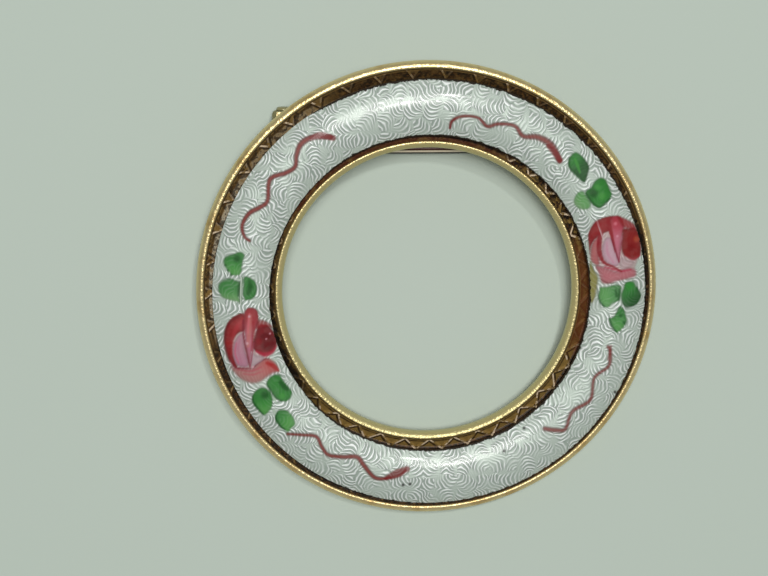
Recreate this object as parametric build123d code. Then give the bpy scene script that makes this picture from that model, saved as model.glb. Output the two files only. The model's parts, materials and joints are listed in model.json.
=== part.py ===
from build123d import *
from math import atan2, cos, degrees, hypot, pi, radians, sin, sqrt
import os

os.makedirs("parts", exist_ok=True)

# Circle brooch: a gilt ring with two smooth rims, a domed enamel plate in the channel between them,
# and on the back a pin with a tube hinge and an open catch.
# It is drawn face up, with the crests of its rims at height 0 and the pin across its upper part,
# and is then laid down as it rests on a table, on its fittings and on the lower edge of the ring.

# The ring, in mm. Depths are measured down from the crests of the rims.
outer_d = 32.0
ring_width = 5.93
ring_depth = 1.7
outer_rim_round = 0.46
inner_rim_round = 0.42
crest_lip = 0.14
back_inset = 0.50

# The channel between the rims
channel_depth = 0.85
wall_run = 0.90
wall_top_depth = 0.20

# The zigzag on the channel's walls: triangular hollows that leave a rib between them
outer_teeth = 42
inner_teeth = 39
rib_width = 0.13
rib_height = 0.14
hollow_floor_share = 0.6
hollow_clear = 0.02

# The enamel plate
plate_shift_x = 0.16
plate_shift_y = -0.22
outer_play = 0.10
inner_play = 0.22
dome_rise = 0.55
plate_edge_depth = 0.04
plate_edge_thickness = 0.12
plate_seat_gap = 0.05
plate_foot_play = 0.12

# The pin across the back
stem_d = 0.80
stem_drop = 1.30
stem_inset = 0.37
point_before_catch = 0.1
point_beyond_catch = 1.1
point_end_d = 0.16

# The hinge: two knuckles soldered to the back, one on the stem, and a rivet through them
fitting_inset = 1.67
tube_d = 1.60
tube_length = 5.40
middle_knuckle = 2.10
knuckle_gap = 0.05
rivet_d = 0.64
rivet_play = 0.02
stem_play = 0.04
rivet_head_d = 1.0
rivet_head_height = 0.20
rivet_head_gap = 0.02
post_width = 1.0
foot_thickness = 0.35
foot_width = 1.6
foot_edge = 0.10

# The catch: a strip that is bent round under the stem
catch_width = 1.8
catch_strip = 0.40
catch_play = 0.24
catch_bend = 205.0
catch_foot_length = 1.9

# Places that follow from the sizes above
outer_r = outer_d / 2
hole_r = outer_r - ring_width
outer_crest_r = outer_r - outer_rim_round
inner_crest_r = hole_r + inner_rim_round
outer_wall_r = outer_crest_r - crest_lip
inner_wall_r = inner_crest_r + crest_lip
outer_floor_r = outer_wall_r - wall_run
inner_floor_r = inner_wall_r + wall_run
back_outer_r = outer_r - back_inset
back_inner_r = hole_r + back_inset
plate_shift = hypot(plate_shift_x, plate_shift_y)
stem_r = stem_d / 2
stem_y = hole_r - stem_inset
stem_z = -ring_depth - stem_drop
tube_r = tube_d / 2
fitting_r = back_outer_r - fitting_inset
fitting_x = sqrt(fitting_r**2 - stem_y**2)
hinge_x = -fitting_x
taper_x = fitting_x - catch_width / 2 - point_before_catch
tip_x = fitting_x + catch_width / 2 + point_beyond_catch
catch_r = stem_r + catch_play
catch_outer_r = catch_r + catch_strip


def turned(edges):
    """A ring with the section that these edges close, drawn as radius and height."""
    return revolve(make_face([Plane.XZ * edge for edge in edges]), axis=Axis.Z)


def ring_body():
    """The frame without its fittings: two half-round rims and the channel between them."""
    outer_floor = (outer_floor_r, -channel_depth)
    inner_floor = (inner_floor_r, -channel_depth)
    outer_top = (outer_wall_r, -wall_top_depth)
    inner_top = (inner_wall_r, -wall_top_depth)
    outer_side = (outer_r, -outer_rim_round)
    inner_side = (hole_r, -inner_rim_round)
    outer_back = (back_outer_r, -ring_depth)
    inner_back = (back_inner_r, -ring_depth)
    return turned(
        [
            Line(inner_floor, outer_floor),
            Line(outer_floor, outer_top),
            Line(outer_top, (outer_crest_r, 0)),
            CenterArc((outer_crest_r, -outer_rim_round), outer_rim_round, 0, 90),
            TangentArc(outer_side, outer_back, tangent=(0, -1)),
            Line(outer_back, inner_back),
            TangentArc(inner_side, inner_back, tangent=(0, -1)),
            CenterArc((inner_crest_r, -inner_rim_round), inner_rim_round, 90, 90),
            Line((inner_crest_r, 0), inner_top),
            Line(inner_top, inner_floor),
        ]
    )


def wall_hollows(top_r, run, teeth):
    """Triangular hollows round a sloping wall, points up and down by turns. Its run is positive outwards."""
    drop = channel_depth - wall_top_depth
    slope = hypot(run, drop)
    mid_r = top_r + run / 2
    half_pitch = mid_r * pi / teeth
    inradius = half_pitch * slope / (half_pitch + hypot(half_pitch, slope))
    shrink = 1 - rib_width / 2 / inradius
    # The mouth stands off the wall, past the bulge of a curved wall between the triangle's corners.
    lift = mid_r * (1 - cos(pi / teeth)) + hollow_clear
    grow = 1 + (1 - hollow_floor_share) * lift / rib_height
    out = 1 if run > 0 else -1

    def on_wall(across, down, off):
        """A point by its way across from the hollow's middle, down from the wall's top and off the wall."""
        r = top_r + run * down / slope + out * drop / slope * off
        z = -wall_top_depth - drop * down / slope + abs(run) / slope * off
        return Vector(r, 0, z).rotate(Axis.Z, degrees(across / mid_r))

    def outline(scale, off, point_down):
        """The hollow's triangle, drawn in towards the centre of its inscribed circle."""
        centre = inradius if point_down else slope - inradius
        base = 0 if point_down else slope
        corners = [(-half_pitch, base), (half_pitch, base), (0, slope - base)]
        return [on_wall(u * scale, centre + (v - centre) * scale, off) for u, v in corners]

    hollows = []
    for point_down in (True, False):
        mouth = outline(shrink * grow, lift, point_down)
        floor = outline(shrink * hollow_floor_share, -rib_height, point_down)
        hollow = ConvexPolyhedron(mouth + floor)
        first = 0.5 if point_down else 0.0
        hollows += [Rot(Z=(first + tooth) * 360 / teeth) * hollow for tooth in range(teeth)]
    return hollows


def along_y(y_from, y_to, d):
    """A round bar on the hinge's axis."""
    return Pos(hinge_x, (y_from + y_to) / 2, stem_z) * Rot(X=90) * Cylinder(d / 2, abs(y_to - y_from))


def foot(x, y, length):
    """A plate on the ring's back, trimmed to its band."""
    plate = Pos(x, y, -ring_depth - foot_thickness / 2) * Box(foot_width, length, foot_thickness)
    band_height = 4 * (ring_depth + foot_thickness)
    band = Cylinder(back_outer_r - foot_edge, band_height) - Cylinder(back_inner_r + foot_edge, band_height)
    return plate & band


def hinge_knuckles():
    """The two fixed knuckles on their posts and foot, bored for the rivet."""
    hinge = foot(hinge_x, stem_y, tube_length)
    length = tube_length / 2 - middle_knuckle / 2 - knuckle_gap
    for side in (-1, 1):
        middle = stem_y + side * (tube_length - length) / 2
        hinge += along_y(middle - length / 2, middle + length / 2, tube_d)
        hinge += Pos(hinge_x, middle, -ring_depth - stem_drop / 2) * Box(post_width, length, stem_drop)
    return hinge - along_y(stem_y - tube_length, stem_y + tube_length, rivet_d + 2 * rivet_play)


def catch():
    """A strip that comes down beside the stem and bends round under it, open on the side of the hole."""
    bend_r = catch_r + catch_strip / 2
    path = Line((bend_r, stem_drop), (bend_r, 0)) + CenterArc((0, 0), bend_r, 0, -catch_bend)
    hook = extrude(Plane.YZ * trace(path, catch_strip), catch_width / 2, both=True)
    return Pos(fitting_x, stem_y, stem_z) * hook + foot(fitting_x, stem_y + catch_r, catch_foot_length)


def frame():
    body = ring_body()
    body -= wall_hollows(outer_wall_r, -wall_run, outer_teeth)
    body -= wall_hollows(inner_wall_r, wall_run, inner_teeth)
    return body + hinge_knuckles() + catch()


def enamel_plate():
    """A domed plate whose rim lies inside both walls wherever its shift brings it near them."""
    plate_outer_r = outer_wall_r - plate_shift - outer_play
    plate_inner_r = inner_wall_r + plate_shift + inner_play
    outer_foot_r = outer_floor_r - plate_shift - plate_foot_play
    inner_foot_r = inner_floor_r + plate_shift + plate_foot_play
    edge_z = -plate_edge_depth
    under_z = edge_z - plate_edge_thickness
    foot_z = -channel_depth + plate_seat_gap
    top = ((plate_inner_r + plate_outer_r) / 2, edge_z + dome_rise)
    plate = turned(
        [
            ThreePointArc((plate_inner_r, edge_z), top, (plate_outer_r, edge_z)),
            Line((plate_outer_r, edge_z), (plate_outer_r, under_z)),
            Line((plate_outer_r, under_z), (outer_foot_r, foot_z)),
            Line((outer_foot_r, foot_z), (inner_foot_r, foot_z)),
            Line((inner_foot_r, foot_z), (plate_inner_r, under_z)),
            Line((plate_inner_r, under_z), (plate_inner_r, edge_z)),
        ]
    )
    return Pos(plate_shift_x, plate_shift_y) * plate


def pin_stem():
    """The pin wire from the middle knuckle to its point past the catch."""
    wire = Pos((hinge_x + taper_x) / 2, stem_y, stem_z) * Rot(Y=90) * Cylinder(stem_r, taper_x - hinge_x)
    point = Rot(Y=90) * Cone(stem_r, point_end_d / 2, tip_x - taper_x)
    knuckle = along_y(stem_y - middle_knuckle / 2, stem_y + middle_knuckle / 2, tube_d)
    stem = wire + Pos((taper_x + tip_x) / 2, stem_y, stem_z) * point + knuckle
    return stem - along_y(stem_y - tube_length, stem_y + tube_length, rivet_d + 2 * stem_play)


def hinge_rivet():
    """The rivet, with a head past the end of each fixed knuckle."""
    reach = tube_length / 2 + rivet_head_gap
    rivet = along_y(stem_y - reach, stem_y + reach, rivet_d)
    for side in (-1, 1):
        rivet += along_y(stem_y + side * reach, stem_y + side * (reach + rivet_head_height), rivet_head_d)
    return rivet


def lean_on(y, z):
    """How far the upper side is raised when the ring's lower edge and this point of the back touch a table."""
    return degrees(atan2(-ring_depth - z, y + back_outer_r))


def resting_lean():
    """The larger of the leans on the hinge's lower end and on the round of the catch."""
    hinge_lean = lean_on(stem_y - tube_length / 2 - rivet_head_gap, stem_z - tube_r)
    away = hypot(stem_y + back_outer_r, stem_drop)
    catch_lean = lean_on(stem_y, stem_z) + degrees(atan2(catch_outer_r, sqrt(away**2 - catch_outer_r**2)))
    return max(hinge_lean, catch_lean)


nodes = {
    "frame": frame(),
    "enamel_plate": enamel_plate(),
    "pin_stem": pin_stem(),
    "hinge_rivet": hinge_rivet(),
}

# The whole brooch is leant as it rests, then lifted onto the table with its middle over the origin.
lean = resting_lean()
leant = {name: Rot(X=lean) * part for name, part in nodes.items()}
whole = Compound(children=[Compound(part.solids()) for part in leant.values()]).bounding_box()
rest = Pos(-whole.center().X, -whole.center().Y, -whole.min.Z)

for name, part in leant.items():
    placed = rest * part
    export_step(placed, f"parts/{name}.step")
    print(name, "volume", round(placed.volume, 2), "mm3")

place = rest * Rot(X=lean)
stem_from = hinge_x + foot_width / 2
stem_middle = (place * Pos((stem_from + taper_x) / 2, stem_y, stem_z)).position
hinge_point = (place * Pos(hinge_x, stem_y, stem_z)).position
print("lean", round(lean, 3), "degrees")
print("stem middle", stem_middle, "free length", round(taper_x - stem_from, 3))
print("hinge point", hinge_point, "axis", (0, round(cos(radians(lean)), 5), round(sin(radians(lean)), 5)))
print("ring centre", place.position)
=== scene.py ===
# %% [markdown]
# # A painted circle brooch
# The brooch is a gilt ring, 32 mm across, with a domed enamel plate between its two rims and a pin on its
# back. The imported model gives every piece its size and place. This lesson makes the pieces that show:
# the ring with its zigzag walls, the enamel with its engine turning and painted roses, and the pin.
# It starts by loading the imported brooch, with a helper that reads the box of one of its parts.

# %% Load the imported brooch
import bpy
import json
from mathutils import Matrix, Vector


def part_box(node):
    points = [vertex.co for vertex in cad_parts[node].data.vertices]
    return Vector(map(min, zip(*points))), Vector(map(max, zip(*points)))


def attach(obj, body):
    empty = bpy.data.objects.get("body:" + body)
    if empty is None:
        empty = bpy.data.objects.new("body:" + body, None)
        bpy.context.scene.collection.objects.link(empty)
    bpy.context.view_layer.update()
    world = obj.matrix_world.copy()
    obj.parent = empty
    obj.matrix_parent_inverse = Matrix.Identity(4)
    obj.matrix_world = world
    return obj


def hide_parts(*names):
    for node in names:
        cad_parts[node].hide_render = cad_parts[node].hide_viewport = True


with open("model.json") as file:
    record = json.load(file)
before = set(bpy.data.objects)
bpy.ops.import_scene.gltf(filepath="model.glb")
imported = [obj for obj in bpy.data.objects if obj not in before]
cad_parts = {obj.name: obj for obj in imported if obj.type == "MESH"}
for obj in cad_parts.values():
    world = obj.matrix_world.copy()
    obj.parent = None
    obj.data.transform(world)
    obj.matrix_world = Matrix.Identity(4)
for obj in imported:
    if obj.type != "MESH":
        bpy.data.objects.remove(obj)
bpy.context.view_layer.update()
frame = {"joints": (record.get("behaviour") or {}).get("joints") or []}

# %% [markdown]
# ## Where the brooch lies
# The brooch rests face up, leant a few degrees on its hinge and catch. Modelling on a slant is awkward, so
# every piece is drawn flat, in millimetres, with the crests of the rims at height 0 and the middle of the
# hole at the origin, and is laid down at the end by one matrix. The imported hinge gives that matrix: its axis
# says how far the brooch leans, and its place says where the middle of the ring is.

# %% Place of the brooch
import json
from math import asin, atan2, cos, degrees, pi, radians, sin, sqrt

import bmesh
import bpy
import numpy as np
from mathutils import Matrix, Vector

MM = 0.001
PIN_Y, PIN_Z = 9.7, -3.0

joint = frame["joints"][0]
hinge = Vector(joint["pos_m"]) / MM
lean = atan2(joint["axis"][2], joint["axis"][1])
turn = Matrix.Rotation(lean, 4, "X")
ring_centre = hinge - turn @ Vector((hinge.x, PIN_Y, PIN_Z))
to_table = Matrix.Translation(ring_centre) @ turn
low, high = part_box("frame")
outer_r = (high.x - low.x) / 2 / MM
print(f"lean {degrees(lean):.2f} degrees, ring radius {outer_r:.2f} mm, middle {ring_centre}")

# %% [markdown]
# ## The camera
# The photograph looks down on the brooch, tilted 12 degrees towards its upper side. The camera's place comes
# from that tilt and from the size of the ring in the picture, and the focal length is counted in pixels.
# So the script can also work out which pixel of the photograph a point of the enamel falls on. The
# painter's strokes are read from there later.

# %% Camera
PHOTO_W, PHOTO_H = 768, 576
FOCAL_PX = 1750.0
PX_PER_MM = 14.44
VIEW_TILT, VIEW_SIDE = radians(12), radians(13)
CENTRE_PX = (427.8, 292.8)
SENSOR_MM = 36

distance = FOCAL_PX / PX_PER_MM
flat_view = Vector((-sin(VIEW_SIDE) * sin(VIEW_TILT), cos(VIEW_SIDE) * sin(VIEW_TILT), cos(VIEW_TILT)))
to_camera = (turn @ flat_view).normalized()
brooch_up = turn @ Vector((0, 1, 0))
camera_up = (brooch_up - brooch_up.dot(to_camera) * to_camera).normalized()
camera_right = camera_up.cross(to_camera)
aside = (PHOTO_W / 2 - CENTRE_PX[0]) / PX_PER_MM
above = (CENTRE_PX[1] - PHOTO_H / 2) / PX_PER_MM
camera_at = ring_centre + distance * to_camera + aside * camera_right + above * camera_up

scene = bpy.context.scene
lens = bpy.data.cameras.new("photo_camera")
lens.sensor_width = SENSOR_MM
lens.lens = FOCAL_PX / PHOTO_W * lens.sensor_width
lens.clip_start = 0.001
camera = bpy.data.objects.new("photo_camera", lens)
scene.collection.objects.link(camera)
scene.camera = camera
camera.matrix_world = Matrix.Translation(camera_at * MM) @ Matrix(
    (camera_right, camera_up, to_camera)
).transposed().to_4x4()
print(f"camera {camera_at.length:.0f} mm from the brooch, lens {lens.lens:.1f} mm")


def photo_pixels(points):
    """The photograph's pixels that points of the flat brooch, in mm, fall on."""
    laid = np.asarray(points) @ np.array(to_table.to_3x3()).T + np.array(to_table.translation)
    seen = (laid - np.array(camera_at)) @ np.array((camera_right, camera_up, to_camera)).T
    x = PHOTO_W / 2 - FOCAL_PX * seen[:, 0] / seen[:, 2]
    y = PHOTO_H / 2 + FOCAL_PX * seen[:, 1] / seen[:, 2]
    return np.column_stack((x, y))


print("middle of the ring at pixel", photo_pixels([(0, 0, 0)])[0].round(1))

# %% [markdown]
# ## Floor and light
# The photograph has a plain pale green-grey ground, and its light shows in three signs. The gloss on the
# dome is broad, so most of the light is a round soft box that hangs close to the lens. A small bright streak
# in that gloss asks for a weak flash beside the lens. The crescent shadow inside the hole is cast by a lamp
# on the upper right. A dim sky, darker overhead than at the horizon, lights the sides of the polished rims.

# %% Floor
FLOOR_SIZE = 0.8
PAPER = (190, 203, 194)
PAPER_ROUGHNESS, PAPER_GLOSS = 0.75, 0.3


def linear(shares):
    """Colours of a picture, from 0 to 1, as the linear numbers that shaders use."""
    return np.where(shares <= 0.04045, shares / 12.92, ((shares + 0.055) / 1.055) ** 2.4)


def opaque(colour):
    """A colour read as 0 to 255 from a picture, as a shader colour."""
    return (*linear(np.array(colour) / 255).tolist(), 1)


def new_material(name):
    """A new node material, its tree and its shader."""
    material = bpy.data.materials.new(name)
    material.use_nodes = True
    tree = material.node_tree
    shader = next(node for node in tree.nodes if node.type == "BSDF_PRINCIPLED")
    return material, tree, shader


bpy.ops.object.select_all(action="DESELECT")
bpy.ops.mesh.primitive_plane_add(size=FLOOR_SIZE, location=(0, 0, 0))
floor = bpy.context.object
floor.name = "floor"
paper, tree, shader = new_material("pale_paper")
shader.inputs["Roughness"].default_value = PAPER_ROUGHNESS
shader.inputs["Specular IOR Level"].default_value = PAPER_GLOSS
shader.inputs["Base Color"].default_value = opaque(PAPER)
floor.data.materials.append(paper)
print("floor", FLOOR_SIZE, "m")

# %% Lights
# each light has its place over the middle of the ring in mm, its width in metres and its watts
FLASH = ((8, 62, 349), 0.036, 0.12)
LAMP = ((66, 200, 455), 0.026, 0.32)
SOFT_BOX = ((-8, 82, 330), 0.130, 0.66)
LIGHT_COLOUR, SKY_COLOUR = (1, 0.98, 0.95), (0.86, 0.93, 0.88, 1)
HORIZON, ZENITH = 0.30, 0.10
FADE_START, FADE_END = 0.35, 0.75


def add_area_light(name, at, size, watts):
    """A round area light that faces the middle of the ring. Its place is in mm."""
    lamp = bpy.data.lights.new(name, "AREA")
    lamp.shape = "DISK"
    lamp.size = size
    lamp.energy = watts
    lamp.color = LIGHT_COLOUR
    light = bpy.data.objects.new(name, lamp)
    scene.collection.objects.link(light)
    light.location = at * MM
    light.rotation_euler = (at - ring_centre).to_track_quat("Z", "Y").to_euler()


for name, (at, size, watts) in (("flash", FLASH), ("lamp", LAMP), ("soft_box", SOFT_BOX)):
    add_area_light(name, ring_centre + turn @ Vector(at), size, watts)

world = bpy.data.worlds.new("studio")
scene.world = world
world.use_nodes = True
sky = world.node_tree
background = next(node for node in sky.nodes if node.type == "BACKGROUND")
background.inputs["Color"].default_value = SKY_COLOUR
direction = sky.nodes.new("ShaderNodeTexCoord")
upward = sky.nodes.new("ShaderNodeSeparateXYZ")
fade = sky.nodes.new("ShaderNodeMapRange")
sky.links.new(direction.outputs["Generated"], upward.inputs[0])
sky.links.new(upward.outputs[2], fade.inputs["Value"])
fade_settings = {"From Min": FADE_START, "From Max": FADE_END, "To Min": HORIZON, "To Max": ZENITH}
for name, value in fade_settings.items():
    fade.inputs[name].default_value = value
sky.links.new(fade.outputs[0], background.inputs["Strength"])
scene.view_settings.view_transform = "Standard"
print("three lights,", round(FLASH[2] + LAMP[2] + SOFT_BOX[2], 2), "W in all")

# %% [markdown]
# ## Tools for turned metal
# A ring is a section that is turned round an axis. By hand it is drawn by extruding one point from corner to
# corner, rounding the corners with a bevel and spinning the line. These helpers do just that in edit mode.
# Blender's spin turns clockwise about its axis, so an upward turn is asked for with the axis reversed.

# %% Helpers for edit mode
UP, MIDDLE = (0, 0, 1), (0, 0, 0)
MERGE_GAP = 0.002


def object_mode():
    """Leaves edit mode."""
    if bpy.context.object and bpy.context.object.mode == "EDIT":
        bpy.ops.object.mode_set(mode="OBJECT")


def select_only(*pieces):
    """Leaves edit mode and selects some pieces and nothing else. The first of them is the active one."""
    object_mode()
    bpy.ops.object.select_all(action="DESELECT")
    for piece in reversed(pieces):
        piece.select_set(True)
        bpy.context.view_layer.objects.active = piece


def everything():
    """Selects all of the piece that is being edited."""
    bpy.ops.mesh.select_mode(type="VERT")
    bpy.ops.mesh.select_all(action="SELECT")


def start_point(name, at):
    """A piece that starts as one point: a plane whose corners are merged, moved to its place."""
    select_only()
    bpy.ops.mesh.primitive_plane_add(size=1, location=MIDDLE)
    piece = bpy.context.object
    piece.name = piece.data.name = name
    bpy.ops.object.mode_set(mode="EDIT")
    everything()
    bpy.ops.mesh.merge(type="CENTER")
    bpy.ops.transform.translate(value=at)
    return piece


def extrude_by(step):
    """Extrudes what is selected by a step."""
    bpy.ops.mesh.extrude_region_move(TRANSFORM_OT_translate={"value": tuple(step)})


def pick(kind, test):
    """Selects the verts, edges or faces whose middle passes a test, and nothing else. Returns how many."""
    bpy.ops.mesh.select_mode(type={"verts": "VERT", "edges": "EDGE", "faces": "FACE"}[kind])
    bpy.ops.mesh.select_all(action="DESELECT")
    edit = bmesh.from_edit_mesh(bpy.context.edit_object.data)
    chosen = 0
    for part in getattr(edit, kind):
        middle = part.co if kind == "verts" else sum((v.co for v in part.verts), Vector()) / len(part.verts)
        if test(middle):
            part.select_set(True)
            chosen += 1
    edit.select_flush_mode()
    bmesh.update_edit_mesh(bpy.context.edit_object.data)
    return chosen


print("points can be placed, extruded and picked")

# %% Helpers for spinning and joining
def spin_about(axis, centre, turn_degrees, steps, copies=False):
    """Spins what is selected anticlockwise about an axis."""
    bpy.ops.mesh.spin(
        steps=steps,
        dupli=copies,
        angle=radians(turn_degrees),
        center=centre,
        axis=tuple(-part for part in axis),
    )


def merge_doubles():
    """Merges points of the edited piece that lie together."""
    everything()
    bpy.ops.mesh.remove_doubles(threshold=MERGE_GAP)


def close_up_mesh():
    """Merges points that lie together and turns all faces outwards."""
    merge_doubles()
    everything()
    bpy.ops.mesh.normals_make_consistent(inside=False)


def spin_ring(steps, sectors):
    """Spins the edited section all the way round: one sector, and then copies of it, which is quicker."""
    everything()
    spin_about(UP, MIDDLE, 360 / sectors, steps // sectors)
    everything()
    spin_about(UP, MIDDLE, 360 - 360 / sectors, sectors - 1, copies=True)
    close_up_mesh()


def draw_section(name, corners, place=lambda radius, height: (radius, 0, height)):
    """A line through corners. Each has two measures, how far it is rounded and in how many segments."""
    points = [Vector(place(*corner[:2])) for corner in corners]
    piece = start_point(name, points[0])
    for before, after in zip(points, points[1:]):
        extrude_by(after - before)
    merge_doubles()
    for at, corner in zip(points, corners):
        rounding, segments = corner[2:]
        if rounding:
            found = pick("verts", lambda point: (point - at).length < MERGE_GAP)
            assert found == 1, (name, corner, found)
            bpy.ops.mesh.bevel(offset=rounding, segments=segments, affect="VERTICES")
    return piece


def join_pieces(name, parts):
    """Joins pieces into the first of them."""
    select_only(*parts)
    bpy.ops.object.join()
    parts[0].name = parts[0].data.name = name
    return parts[0]


print("sections can be drawn, spun and joined")

# %% [markdown]
# ## The ring
# The ring is one pressed and gilded piece: a round rim outside, a round rim inside, and between them a
# channel with sloping walls. Its section is drawn corner by corner, with the two walls left open, because
# they carry a raised zigzag that a plain turned wall would lack. The walls are made tooth by tooth next.

# %% Section of the ring
RING_WIDTH = 5.93
RING_DEPTH = 1.7
OUTER_ROUND, INNER_ROUND = 0.46, 0.42
CREST_LIP, CREST_FLAT, CREST_ROUND = 0.14, 0.02, 0.07
BACK_INSET, BACK_ROUND = 0.50, 0.12
BULGE_ROUNDING = 0.98
CHANNEL_DEPTH = 0.85
WALL_RUN = 0.90
WALL_TOP = -0.20
STEPS, SECTORS = 546, 42

hole_r = outer_r - RING_WIDTH
outer_crest_r = outer_r - OUTER_ROUND
inner_crest_r = hole_r + INNER_ROUND
outer_wall_r = outer_crest_r - CREST_LIP
inner_wall_r = inner_crest_r + CREST_LIP
outer_floor_r = outer_wall_r - WALL_RUN
inner_floor_r = inner_wall_r + WALL_RUN
wall_drop = CHANNEL_DEPTH + WALL_TOP
back_outer_r = outer_r - BACK_INSET
back_inner_r = hole_r + BACK_INSET


def side_rounding(side_round):
    """How far below the rim's round the side's long curve has its corner, to end at the back's edge."""
    drop = RING_DEPTH - side_round
    return (BACK_INSET**2 + drop**2) / (2 * drop)


outer_bulge = side_rounding(OUTER_ROUND)
inner_bulge = side_rounding(INNER_ROUND)
ring_section = (
    (outer_wall_r, WALL_TOP, 0, 0),
    (outer_crest_r - CREST_FLAT, 0, CREST_ROUND, 4),
    (outer_r, 0, OUTER_ROUND, 9),
    (outer_r, -OUTER_ROUND - outer_bulge, outer_bulge * BULGE_ROUNDING, 8),
    (back_outer_r, -RING_DEPTH, BACK_ROUND, 3),
    (back_inner_r, -RING_DEPTH, BACK_ROUND, 3),
    (hole_r, -INNER_ROUND - inner_bulge, inner_bulge * BULGE_ROUNDING, 8),
    (hole_r, 0, INNER_ROUND, 11),
    (inner_crest_r + CREST_FLAT, 0, CREST_ROUND, 4),
    (inner_wall_r, WALL_TOP, 0, 0),
)
ring = draw_section("ring", ring_section)
spin_ring(STEPS, SECTORS)
object_mode()
print("ring turned,", len(ring.data.polygons), "faces")

# %% [markdown]
# ## The zigzag walls
# Both walls carry a pressed border. On the outer wall small raised V shapes stand between wide hollows, and
# on the inner one a thin rib runs up and down between triangular hollows. One tooth is modelled: a narrow
# strip of the wall is spun and sliced along both sides of its two strokes with bisect, and the hollows are
# inset and pressed in. The tooth is then copied round by a spin that duplicates. 42 teeth of 13 steps and
# 39 of 14 both make the ring's 546 steps, so the walls meet the ring point by point.

# %% One tooth, copied round
RIB_WIDTH = 0.11
RIB_HEIGHT = 0.12
EDGE_BAND = 0.06
HOLLOW_SLOPE = 0.08
# teeth, first step, half width at the crest as a share of the tooth, how far down the strokes meet, filled
OUTER_ZIGZAG = (42, 6, 0.17, 0.66, True)
INNER_ZIGZAG = (39, 5, 0.50, 1.00, False)


def stroke_scale(top_r, teeth, foot, tip):
    """The gap square to a stroke, in mm, for a gap along the wall of one tooth."""
    pitch_mm = 2 * pi * top_r / teeth
    drop = tip * sqrt(WALL_RUN**2 + wall_drop**2)
    return pitch_mm * drop / sqrt(drop**2 + (foot * pitch_mm) ** 2)


def zigzag_wall(name, top_r, floor_r, teeth, first_step, foot, tip, filled):
    """A wall of the channel with its zigzag, from one tooth that is copied round."""
    pitch = 360 / teeth
    scale = stroke_scale(top_r, teeth, foot, tip)
    piece = start_point(name, (top_r, 0, WALL_TOP))
    extrude_by((floor_r - top_r, 0, -wall_drop))
    everything()
    spin_about(UP, MIDDLE, pitch, STEPS // teeth)

    def on_wall(turned, share):
        """A point of the wall by its angle and how far down it lies."""
        r = top_r + (floor_r - top_r) * share
        return Vector((r * cos(radians(turned)), r * sin(radians(turned)), WALL_TOP - wall_drop * share))

    def gap_to_stroke(middle):
        """The gap to the nearer stroke, in mm, above 0 between the two."""
        share = (WALL_TOP - middle.z) / wall_drop
        turned = degrees(atan2(middle.y, middle.x)) / pitch
        return (foot * (1 - share / tip) - abs(turned - 0.5)) * scale

    def in_band(middle):
        """True between the plain bands along the wall's edges."""
        return WALL_TOP - EDGE_BAND > middle.z > -CHANNEL_DEPTH + EDGE_BAND

    def in_hollow(middle):
        """True on the faces that are pressed in."""
        gap = gap_to_stroke(middle)
        return in_band(middle) and (gap < -RIB_WIDTH / 2 or (gap > RIB_WIDTH / 2 and not filled))

    for height in (WALL_TOP - EDGE_BAND, -CHANNEL_DEPTH + EDGE_BAND):
        everything()
        bpy.ops.mesh.bisect(plane_co=(0, 0, height), plane_no=UP)
    tip_point = on_wall(pitch / 2, tip)
    slope = Vector((-wall_drop, 0, top_r - floor_r)).normalized()
    face_normal = Matrix.Rotation(radians(pitch / 2), 3, "Z") @ slope
    for side in (-1, 1):
        stroke_foot = on_wall(pitch * (0.5 + side * foot), 0)
        across = (tip_point - stroke_foot).cross(face_normal).normalized()
        for edge in (-1, 1):
            pick("faces", in_band)
            bpy.ops.mesh.bisect(plane_co=stroke_foot + across * edge * RIB_WIDTH / 2, plane_no=across)
    everything()
    bpy.ops.mesh.normals_make_consistent(inside=False)
    edit = bmesh.from_edit_mesh(piece.data)
    edit.faces.ensure_lookup_table()
    if edit.faces[0].normal.z < 0:
        bpy.ops.mesh.flip_normals()
    found = pick("faces", in_hollow)
    bpy.ops.mesh.inset(thickness=HOLLOW_SLOPE, depth=-RIB_HEIGHT, use_boundary=False, use_even_offset=True)
    everything()
    start_turn = radians(first_step * 360 / STEPS)
    bpy.ops.transform.rotate(value=-start_turn, orient_axis="Z", center_override=MIDDLE)
    everything()
    spin_about(UP, MIDDLE, 360 - pitch, teeth - 1, copies=True)
    merge_doubles()
    object_mode()
    print(name, found, "hollow faces in a tooth,", len(piece.data.polygons), "faces")
    return piece


outer_wall = zigzag_wall("outer_wall", outer_wall_r, outer_floor_r, *OUTER_ZIGZAG)
inner_wall = zigzag_wall("inner_wall", inner_wall_r, inner_floor_r, *INNER_ZIGZAG)

# %% [markdown]
# ## One ring
# A real ring is pressed in one piece, so nothing may gape between its rims and its walls. The channel's
# floor is a flat band, spun like the rims. Rims, walls and floor share their steps, so that after joining
# them one merge closes every seam, and the normals can be turned outwards all together.

# %% Join the walls and the ring
floor_corners = ((inner_floor_r, -CHANNEL_DEPTH, 0, 0), (outer_floor_r, -CHANNEL_DEPTH, 0, 0))
floor_band = draw_section("floor_band", floor_corners)
spin_ring(STEPS, SECTORS)
join_pieces("gilt_ring", (ring, outer_wall, inner_wall, floor_band))
bpy.ops.object.mode_set(mode="EDIT")
close_up_mesh()
object_mode()
print("gilt ring,", len(ring.data.polygons), "faces")

# %% [markdown]
# ## Gilt
# The gilding is pale and worn: polished on the rims, tarnished brown and black in the channel, where polish
# never reaches, and dimpled, so that its highlights break up into beads. Not all the channel's dark is tarnish:
# painted shade darkens it under the crests, on the lips, low on the walls and in the black crevice under the
# rim. A painted reflection of the enamel lightens the lower hollows on the left, and the pale of the raised
# strokes is partly a painted highlight. A painted image could show this, but the stains and the painted light
# have to sit on the zigzag's own ribs and hollows, so the material works them out. It turns a point back to
# the flat brooch, in mm, and reads its radius, angle and height. Each answer is a mask from 0 to 1, and each
# helper below adds one node to the tree of the sockets that it is given.

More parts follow.
